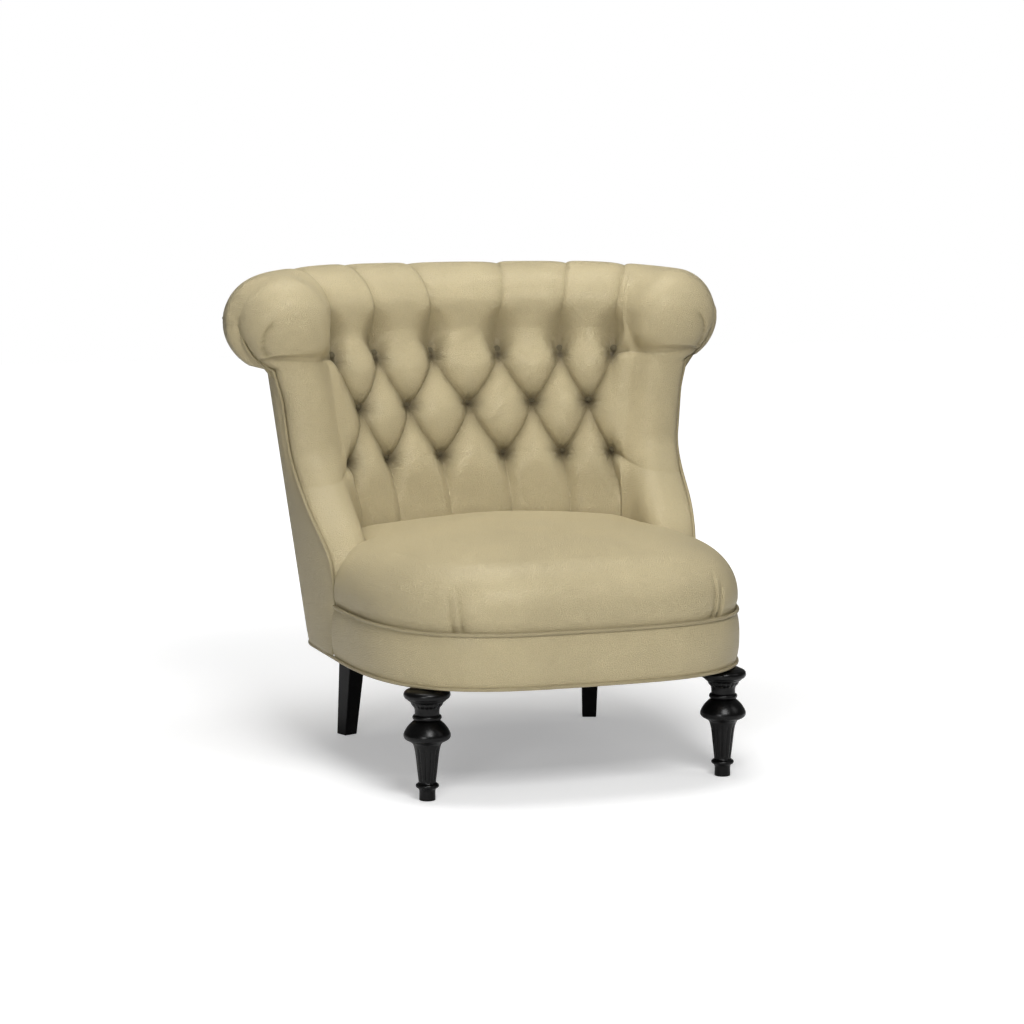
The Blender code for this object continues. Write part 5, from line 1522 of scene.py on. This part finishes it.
def grain_group():
    """Pebbled leather grain: soft cells parted by fine grooves, with pores and a slow change of tone."""
    inputs = [("Vector", "NodeSocketVector", None), ("Cell Size", "NodeSocketFloat", 0.0022)]
    outputs = [("Height", "NodeSocketFloat"), ("Tone", "NodeSocketFloat"), ("Groove", "NodeSocketFloat")]
    group, start, end = node_group("ShaderNodeTree", "leather_grain", inputs, outputs)
    place = start.outputs["Vector"]
    density = math_node(group, "DIVIDE", 1.0, start.outputs["Cell Size"])
    cells = node(group, "ShaderNodeTexVoronoi", {"feature": "DISTANCE_TO_EDGE"},
                 Vector=warped(group, place, 140.0, 2.0, 0.0016), Scale=density, Randomness=0.9)
    mound = ramp_between(group, cells.outputs["Distance"], 0.0, 0.22)
    pores = node(group, "ShaderNodeTexNoise", None, Vector=place, Scale=1900.0, Detail=2.0)
    fine = math_node(group, "MULTIPLY", pores.outputs["Fac"], 0.25)
    cloud = node(group, "ShaderNodeTexNoise", None, Vector=place, Scale=7.0, Detail=4.0, Roughness=0.6)
    feed(group, end.inputs["Height"], math_node(group, "ADD", mound, fine))
    feed(group, end.inputs["Tone"], ramp_between(group, cloud.outputs["Fac"], 0.3, 0.7))
    feed(group, end.inputs["Groove"], math_node(group, "SUBTRACT", 1.0, mound))
    return group


def pull_group():
    """Fine pull wrinkles where the mask is high, and a soft unevenness everywhere."""
    inputs = [("Vector", "NodeSocketVector", None), ("Mask", "NodeSocketFloat", 0.0)]
    group, start, end = node_group("ShaderNodeTree", "pull_wrinkles", inputs, [("Height", "NodeSocketFloat")])
    place = start.outputs["Vector"]
    stretched = node(group, "ShaderNodeMapping", None, Vector=place, Scale=(55.0, 55.0, 190.0))
    lines = node(group, "ShaderNodeTexNoise", None, Vector=stretched.outputs["Vector"], Scale=1.0, Detail=3.0,
                 Distortion=0.6)
    ridge = math_node(group, "ABSOLUTE", math_node(group, "SUBTRACT", lines.outputs["Fac"], 0.5))
    masked = math_node(group, "MULTIPLY", ridge, start.outputs["Mask"])
    slow = node(group, "ShaderNodeTexNoise", None, Vector=place, Scale=22.0, Detail=2.0)
    swell = math_node(group, "MULTIPLY", slow.outputs["Fac"], 0.35)
    total = math_node(group, "ADD", math_node(group, "MULTIPLY", masked, -6.0), swell)
    feed(group, end.inputs["Height"], total)
    return group


def new_material(name, colour, roughness, metallic=0.0):
    """A material, its node tree and its shader, with the colour also set for the solid view."""
    made = bpy.data.materials.new(name)
    made.use_nodes = True
    made.diffuse_color = (*colour[:3], 1.0)
    shader = made.node_tree.nodes["Principled BSDF"]
    shader.inputs["Base Color"].default_value = (*colour[:3], 1.0)
    shader.inputs["Roughness"].default_value = roughness
    shader.inputs["Metallic"].default_value = metallic
    return made, made.node_tree, shader


def surface(tree, shader, colour, rough, height, strength, distance, under=None):
    """Feeds a shader's colour and roughness, and its normal from a height."""
    feed(tree, shader.inputs["Base Color"], colour)
    feed(tree, shader.inputs["Roughness"], rough)
    bump = node(tree, "ShaderNodeBump", None, Height=height, Strength=strength, Distance=distance)
    if under is not None:
        feed(tree, bump.inputs["Normal"], under)
    feed(tree, shader.inputs["Normal"], bump.outputs["Normal"])


def tinted(colour, gain):
    return tuple(min(max(part * gain, 0.0), 1.0) for part in colour[:3]) + (1.0,)


def leather(name="khaki_leather", gain=1.0, cell=None):
    """Fine-grained khaki leather with a satin sheen, darkened as painted shade in its folds and round its
    buttons.
    """
    found = bpy.data.materials.get(name)
    if found:
        return found
    colour = tinted(colours().leather, gain)
    made, tree, shader = new_material(name, colour, 0.46)
    place = object_place(tree)
    fold = node(tree, "ShaderNodeAttribute", {"attribute_name": "fold"}).outputs["Fac"]
    gather = node(tree, "ShaderNodeAttribute", {"attribute_name": "gather"}).outputs["Fac"]
    grain = grouped(tree, "leather_grain", grain_group, Vector=place, Cell_Size=cell or sizes().grain_size)
    pull = grouped(tree, "pull_wrinkles", pull_group, Vector=place, Mask=gather)
    body = blended(tree, grain["Tone"], tinted(colour, 0.94), tinted(colour, 1.05))
    body = blended(tree, math_node(tree, "MULTIPLY", grain["Groove"], 0.30), body, tinted(colour, 0.62))
    # Painted shade: a dark brown mixed in by the fold mask beside folds, pleats and gathers and under the roll
    dark = tinted((colour[0] * 0.95, colour[1] * 0.86, colour[2] * 0.70), 0.40)
    body = blended(tree, math_node(tree, "MULTIPLY", fold, 0.62), body, dark)
    # Painted shade: near-black round each button's pit
    painted_pit_shade = math_node(tree, "MULTIPLY", math_node(tree, "POWER", gather, 1.5), 1.15, clamp=True)
    body = blended(tree, painted_pit_shade, body, tinted(dark, 0.30))
    rough = math_node(tree, "MULTIPLY_ADD", grain["Tone"], 0.07, 0.30)
    wrinkle = node(tree, "ShaderNodeBump", None, Height=pull["Height"], Strength=0.75, Distance=0.0016)
    surface(tree, shader, body, rough, grain["Height"], 0.9, 0.0010, wrinkle.outputs["Normal"])
    shader.inputs["Coat Weight"].default_value = 0.06
    shader.inputs["Coat Roughness"].default_value = 0.25
    shader.inputs["Specular IOR Level"].default_value = 0.58
    shader.inputs["Specular Tint"].default_value = (1.0, 0.90, 0.68, 1.0)
    return made


def painted_shade_button_leather():
    """The same leather on the buttons, darkened as painted shade because they lie in the dark of their pits.
    """
    made = leather("painted_shade_button_leather", 0.26)
    shader = made.node_tree.nodes["Principled BSDF"]
    shader.inputs["Coat Weight"].default_value = 0.0
    shader.inputs["Specular IOR Level"].default_value = 0.2
    return made


def wood(name, colour, roughness, ring_scale, contrast, lacquer):
    """Wood with rings along its length, fine pores and an optional lacquer."""
    found = bpy.data.materials.get(name)
    if found:
        return found
    made, tree, shader = new_material(name, colour, roughness)
    stretched = node(tree, "ShaderNodeMapping", None, Vector=object_place(tree), Scale=(1.0, 1.0, 0.12))
    long_way = stretched.outputs["Vector"]
    rings = node(tree, "ShaderNodeTexWave", {"wave_type": "RINGS", "rings_direction": "Z"},
                 Vector=warped(tree, long_way, 9.0, 3.0, 0.05), Scale=ring_scale, Distortion=2.0, Detail=3.0)
    pores = node(tree, "ShaderNodeTexNoise", None, Vector=long_way, Scale=900.0, Detail=2.0).outputs["Fac"]
    streak = math_node(tree, "MULTIPLY", rings.outputs["Fac"], pores)
    body = blended(tree, streak, tinted(colour, 1 - contrast), tinted(colour, 1 + contrast))
    rough = math_node(tree, "MULTIPLY_ADD", pores, 0.14, roughness - 0.07)
    surface(tree, shader, body, rough, streak, 0.2, 0.0003)
    shader.inputs["Coat Weight"].default_value = lacquer
    shader.inputs["Coat Roughness"].default_value = 0.22
    return made


def ebony():
    made = wood("ebonised_wood_finish", colours().ebony, 0.30, 60.0, 0.35, 0.06)
    made.node_tree.nodes["Principled BSDF"].inputs["Specular IOR Level"].default_value = 0.22
    return made


def hardwood():
    return wood("frame_wood_finish", colours().frame_wood, 0.68, 28.0, 0.30, 0.0)


def steel():
    """Drawn steel wire: bright, with fine dull streaks and spots."""
    found = bpy.data.materials.get("drawn_steel")
    if found:
        return found
    colour = (0.55, 0.56, 0.58)
    made, tree, shader = new_material("drawn_steel", colour, 0.34, 1.0)
    place = object_place(tree)
    spots = node(tree, "ShaderNodeTexNoise", None, Vector=place, Scale=260.0, Detail=4.0).outputs["Fac"]
    cloud = node(tree, "ShaderNodeTexNoise", None, Vector=place, Scale=18.0, Detail=3.0).outputs["Fac"]
    body = blended(tree, cloud, tinted(colour, 0.75), tinted(colour, 1.1))
    surface(tree, shader, body, math_node(tree, "MULTIPLY_ADD", spots, 0.25, 0.24), spots, 0.15, 0.0002)
    return made


def weave_group():
    """Plain weave: over and under threads in two directions, with uneven yarn."""
    inputs = [("Vector", "NodeSocketVector", None), ("Thread", "NodeSocketFloat", 0.002)]
    outputs = [("Height", "NodeSocketFloat"), ("Yarn", "NodeSocketFloat")]
    group, start, end = node_group("ShaderNodeTree", "plain_weave", inputs, outputs)
    parts = node(group, "ShaderNodeSeparateXYZ", None, Vector=start.outputs["Vector"]).outputs
    turn = math_node(group, "DIVIDE", math.pi, start.outputs["Thread"])
    waves = []
    for along in (parts["X"], math_node(group, "ADD", parts["Y"], parts["Z"])):
        waves.append(math_node(group, "SINE", math_node(group, "MULTIPLY", along, turn), 0.0))
    over, under = [math_node(group, "ABSOLUTE", wave, 0.0) for wave in waves]
    lift = ramp_between(group, math_node(group, "MULTIPLY", waves[0], waves[1]), -0.6, 0.6)
    sunk = math_node(group, "MULTIPLY", under, math_node(group, "SUBTRACT", 1.0, lift))
    height = math_node(group, "ADD", math_node(group, "MULTIPLY", over, lift), sunk)
    yarn = node(group, "ShaderNodeTexNoise", None, Vector=start.outputs["Vector"], Scale=420.0, Detail=3.0)
    feed(group, end.inputs["Height"], height)
    feed(group, end.inputs["Yarn"], yarn.outputs["Fac"])
    return group


def cloth(name, colour, thread, contrast):
    """Woven cloth or jute, with hairy yarn and dark gaps between the threads."""
    found = bpy.data.materials.get(name)
    if found:
        return found
    made, tree, shader = new_material(name, colour, 0.92)
    weave = grouped(tree, "plain_weave", weave_group, Vector=object_place(tree), Thread=thread)
    body = blended(tree, weave["Yarn"], tinted(colour, 1 - contrast), tinted(colour, 1 + contrast))
    body = blended(tree, ramp_between(tree, weave["Height"], 0.05, 0.45), tinted(colour, 0.35), body)
    rough = math_node(tree, "MULTIPLY_ADD", weave["Yarn"], 0.12, 0.84)
    surface(tree, shader, body, rough, weave["Height"], 0.7, thread / 4)
    shader.inputs["Sheen Weight"].default_value = 0.15
    shader.inputs["Sheen Roughness"].default_value = 0.5
    return made


def thread_finish():
    """Waxed sewing thread a shade deeper than the leather."""
    found = bpy.data.materials.get("seam_thread")
    if found:
        return found
    colour = tinted(colours().leather, 0.72)
    made, tree, shader = new_material("seam_thread", colour, 0.55)
    twist = node(tree, "ShaderNodeTexWave", {"bands_direction": "DIAGONAL"}, Vector=object_place(tree),
                 Scale=900.0).outputs["Fac"]
    surface(tree, shader, blended(tree, twist, tinted(colour, 0.7), colour), 0.55, twist, 0.5, 0.0001)
    return made


# Stage

def floor_finish():
    """Pale floor that shows white to the camera away from the chair and keeps its shadow."""
    made, tree, shader = new_material("pale_floor", (0.82, 0.82, 0.82), 0.9)
    shader.inputs["Specular IOR Level"].default_value = 0.1
    shader.inputs["Emission Color"].default_value = (1.0, 1.0, 1.0, 1.0)
    seen = tree.nodes.new("ShaderNodeLightPath").outputs["Is Camera Ray"]
    away = node(tree, "ShaderNodeVectorMath", {"operation": "LENGTH"}, i0=object_place(tree)).outputs["Value"]
    far = ramp_between(tree, away, *FLOOR_FAR)
    lift = math_node(tree, "MULTIPLY_ADD", far, FLOOR_FAR_LIFT - FLOOR_LIFT, FLOOR_LIFT)
    feed(tree, shader.inputs["Emission Strength"], math_node(tree, "MULTIPLY", seen, lift))
    return made


def pale_world():
    """Even pale light on the chair, and white behind it in the picture."""
    world = bpy.data.worlds.new("pale_studio")
    world.use_nodes = True
    tree = world.node_tree
    back = tree.nodes["Background"]
    back.inputs["Color"].default_value = (1.0, 1.0, 1.0, 1.0)
    path = tree.nodes.new("ShaderNodeLightPath").outputs
    seen = math_node(tree, "MAXIMUM", path["Is Camera Ray"], path["Is Transmission Ray"])
    strength = node(tree, "ShaderNodeMapRange", None, Value=seen, To_Min=WORLD_STRENGTH, To_Max=1.0)
    feed(tree, back.inputs["Strength"], strength.outputs["Result"])
    bpy.context.scene.world = world


def soft_lamp(name, place, aim, size, power):
    """A square soft box that faces a point."""
    lamp = bpy.data.lights.new(name, "AREA")
    lamp.shape = "RECTANGLE"
    lamp.size = size[0]
    lamp.size_y = size[1]
    lamp.energy = power
    obj = bpy.data.objects.new(name, lamp)
    bpy.context.scene.collection.objects.link(obj)
    obj.location = place
    obj.rotation_euler = (Vector(aim) - Vector(place)).to_track_quat("-Z", "Y").to_euler()


def stage():
    corners = [(x * FLOOR_HALF, y * FLOOR_HALF, FLOOR_Z) for x, y in ((-1, -1), (1, -1), (1, 1), (-1, 1))]
    floor = mesh_piece("floor", corners, [(0, 1, 2, 3)], floor_finish(), recalculate=False)
    pale_world()
    for lamp in LAMPS:
        soft_lamp(*lamp)
    data = bpy.data.cameras.new("camera")
    data.lens = CAMERA_LENS
    data.sensor_width = CAMERA_SENSOR
    camera = bpy.data.objects.new("camera", data)
    bpy.context.scene.collection.objects.link(camera)
    camera.location = CAMERA_PLACE
    camera.rotation_euler = Vector(CAMERA_AIM).to_track_quat("-Z", "Y").to_euler()
    bpy.context.scene.camera = camera
    bpy.context.scene.view_settings.view_transform = "Standard"


# Add-on

class ChairSizes(bpy.types.PropertyGroup):
    """Sizes that change the look of the covers."""

    tuft_height: FloatProperty(
        name="Tuft height", description="Height of the swollen diamonds over the button plane",
        default=0.033, min=0.012, max=0.036, unit="LENGTH")
    button_radius: FloatProperty(
        name="Button radius", description="Radius of the covered buttons",
        default=0.0064, min=0.005, max=0.011, unit="LENGTH")
    welt_radius: FloatProperty(
        name="Welt radius", description="Radius of the leather-covered cords on the seams",
        default=0.0029, min=0.002, max=0.004, unit="LENGTH")
    grain_size: FloatProperty(
        name="Grain size", description="Width of one pebble of the leather's grain",
        default=0.0027, min=0.0008, max=0.004, unit="LENGTH")
    staple_pitch: FloatProperty(
        name="Staple pitch", description="Distance between the staples of the dust cover",
        default=0.032, min=0.015, max=0.08, unit="LENGTH")
    stitch_pitch: FloatProperty(
        name="Stitch pitch", description="Distance between the stitches of the outside seams",
        default=0.0068, min=0.003, max=0.012, unit="LENGTH")


class ChairColours(bpy.types.PropertyGroup):
    """Colours of the chair's finishes."""

    leather: FloatVectorProperty(
        name="Leather", description="Colour of the leather covers", subtype="COLOR",
        size=3, min=0.0, max=1.0, default=(0.520, 0.440, 0.264))
    ebony: FloatVectorProperty(
        name="Ebony", description="Colour of the stained legs", subtype="COLOR",
        size=3, min=0.0, max=1.0, default=(0.0014, 0.0013, 0.0013))
    frame_wood: FloatVectorProperty(
        name="Frame wood", description="Colour of the inner frame", subtype="COLOR",
        size=3, min=0.0, max=1.0, default=(0.62, 0.44, 0.27))


def sizes():
    return bpy.context.scene.chair_sizes


def colours():
    return bpy.context.scene.chair_colours


class ChairStage(bpy.types.Operator):
    """Adds the floor, the soft studio light and the camera"""

    bl_idname = "chair.stage"
    bl_label = "Stage"

    def execute(self, context):
        stage()
        return {"FINISHED"}


class ChairBackCover(bpy.types.Operator):
    """Adds the tufted leather of the back, the wings and the roll in one piece"""

    bl_idname = "chair.back_cover"
    bl_label = "Tufted back"

    def execute(self, context):
        piece = keep(back_cover(leather()), "leather", "back_pad", "back_roll")
        return {"FINISHED"}


class ChairButtons(bpy.types.Operator):
    """Adds the covered buttons of the back"""

    bl_idname = "chair.buttons"
    bl_label = "Buttons"

    def execute(self, context):
        nodes = [name for name in frame["nodes"] if name.startswith("tuft_button")]
        keep(tuft_buttons(painted_shade_button_leather()), "leather", *nodes)
        return {"FINISHED"}


class ChairSeat(bpy.types.Operator):
    """Adds the crowned seat and the padded band under it"""

    bl_idname = "chair.seat"
    bl_label = "Seat and band"

    def execute(self, context):
        seat = keep(seat_cover(leather()), "leather", "seat_cushion")
        band = keep(front_boxing(leather()), "leather", "front_band")
        return {"FINISHED"}


class ChairOutside(bpy.types.Operator):
    """Adds the outside back and wings with their stitched seams"""

    bl_idname = "chair.outside"
    bl_label = "Outside covers"

    def execute(self, context):
        for piece, cad_node in outside_covers(leather()):
            keep(piece, "leather", cad_node)
        for side, word in ((-1, "left"), (1, "right")):
            line = line_object(f"seam_stitches_{word}", seam_line(side * (LAST_COLUMN + 0.09), 0.0016))
            values = {"Pitch": sizes().stitch_pitch, "Length": sizes().stitch_pitch * 0.7, "Radius": 0.00035}
            values["Material"] = thread_finish()
            keep(nodes_result(line, shared_tree("stitch_line", stitch_tree), values), "leather")
        return {"FINISHED"}


class ChairWelts(bpy.types.Operator):
    """Adds the leather-covered cords on the seams"""

    bl_idname = "chair.welts"
    bl_label = "Welts"

    def execute(self, context):
        finish = leather("welt_leather", 0.95, 0.0013)
        keep(welt("base_cord", outline_ring(0.0, BASE_WELT_Z), finish, True), "leather", "base_welt")
        keep(welt("seat_cord", seat_welt_line(), finish), "leather", "seat_welt")
        keep(welt("outside_back_cord", outside_welt_line(), finish), "leather", "outside_back_welt")
        return {"FINISHED"}


class ChairLegs(bpy.types.Operator):
    """Adds the two turned front legs and the two square raked back legs"""

    bl_idname = "chair.legs"
    bl_label = "Legs"

    def execute(self, context):
        for side, word in ((-1, "left"), (1, "right")):
            front = front_leg(f"turned_leg_{word}", side * FRONT_LEG_X, ebony())
            keep(front, "ebonised_wood", f"front_leg_{word}")
            rear = rear_leg(f"square_leg_{word}", side, ebony())
            keep(rear, "ebonised_wood", f"rear_leg_{word}")
        return {"FINISHED"}


class ChairInside(bpy.types.Operator):
    """Finishes the frame, springs, webbing and dust cover, and staples the dust cover"""

    bl_idname = "chair.inside"
    bl_label = "Frame and underside"

    def execute(self, context):
        finishes = {
            "frame_wood": hardwood(),
            "spring_steel": steel(),
            "jute": cloth("jute_weave", (0.50, 0.38, 0.22), 0.0032, 0.30),
            "dust_cloth": cloth("dust_cover_cloth", (0.020, 0.020, 0.020), 0.0010, 0.40),
        }
        for part in frame["record"]["subparts"]:
            finish = finishes.get(part["material_slot"])
            if finish:
                mesh = frame["nodes"][part["node"]].data
                mesh.materials.clear()
                mesh.materials.append(finish)
        line = line_object("dust_cover_staples", outline_ring(0.022, LEG_TOP - 0.0013), closed=True)
        values = {"Pitch": sizes().staple_pitch, "Length": 0.0105, "Radius": 0.0004, "Material": steel()}
        keep(nodes_result(line, shared_tree("stitch_line", stitch_tree), values), "spring_steel")
        return {"FINISHED"}


STEPS = (
    ChairStage, ChairBackCover, ChairButtons, ChairSeat, ChairOutside, ChairWelts, ChairLegs, ChairInside,
)


class ChairPanel(bpy.types.Panel):
    """Lists the pieces, the sizes and the colours of the chair"""

    bl_idname = "VIEW3D_PT_tufted_chair"
    bl_label = "Tufted leather chair"
    bl_space_type = "VIEW_3D"
    bl_region_type = "UI"
    bl_category = "Chair"

    def draw(self, context):
        layout = self.layout
        for group in (context.scene.chair_sizes, context.scene.chair_colours):
            box = layout.box()
            for name in group.bl_rna.properties.keys():
                if name not in {"rna_type", "name"}:
                    box.prop(group, name)
        for step in STEPS:
            layout.operator(step.bl_idname)


CLASSES = (ChairSizes, ChairColours, *STEPS, ChairPanel)


def register():
    for item in CLASSES:
        bpy.utils.register_class(item)
    bpy.types.Scene.chair_sizes = PointerProperty(type=ChairSizes)
    bpy.types.Scene.chair_colours = PointerProperty(type=ChairColours)


def unregister():
    del bpy.types.Scene.chair_colours
    del bpy.types.Scene.chair_sizes
    for item in reversed(CLASSES):
        bpy.utils.unregister_class(item)


def main():
    register()
    for step in STEPS:
        group, name = step.bl_idname.split(".")
        getattr(getattr(bpy.ops, group), name)()


if __name__ == "__main__":
    main()
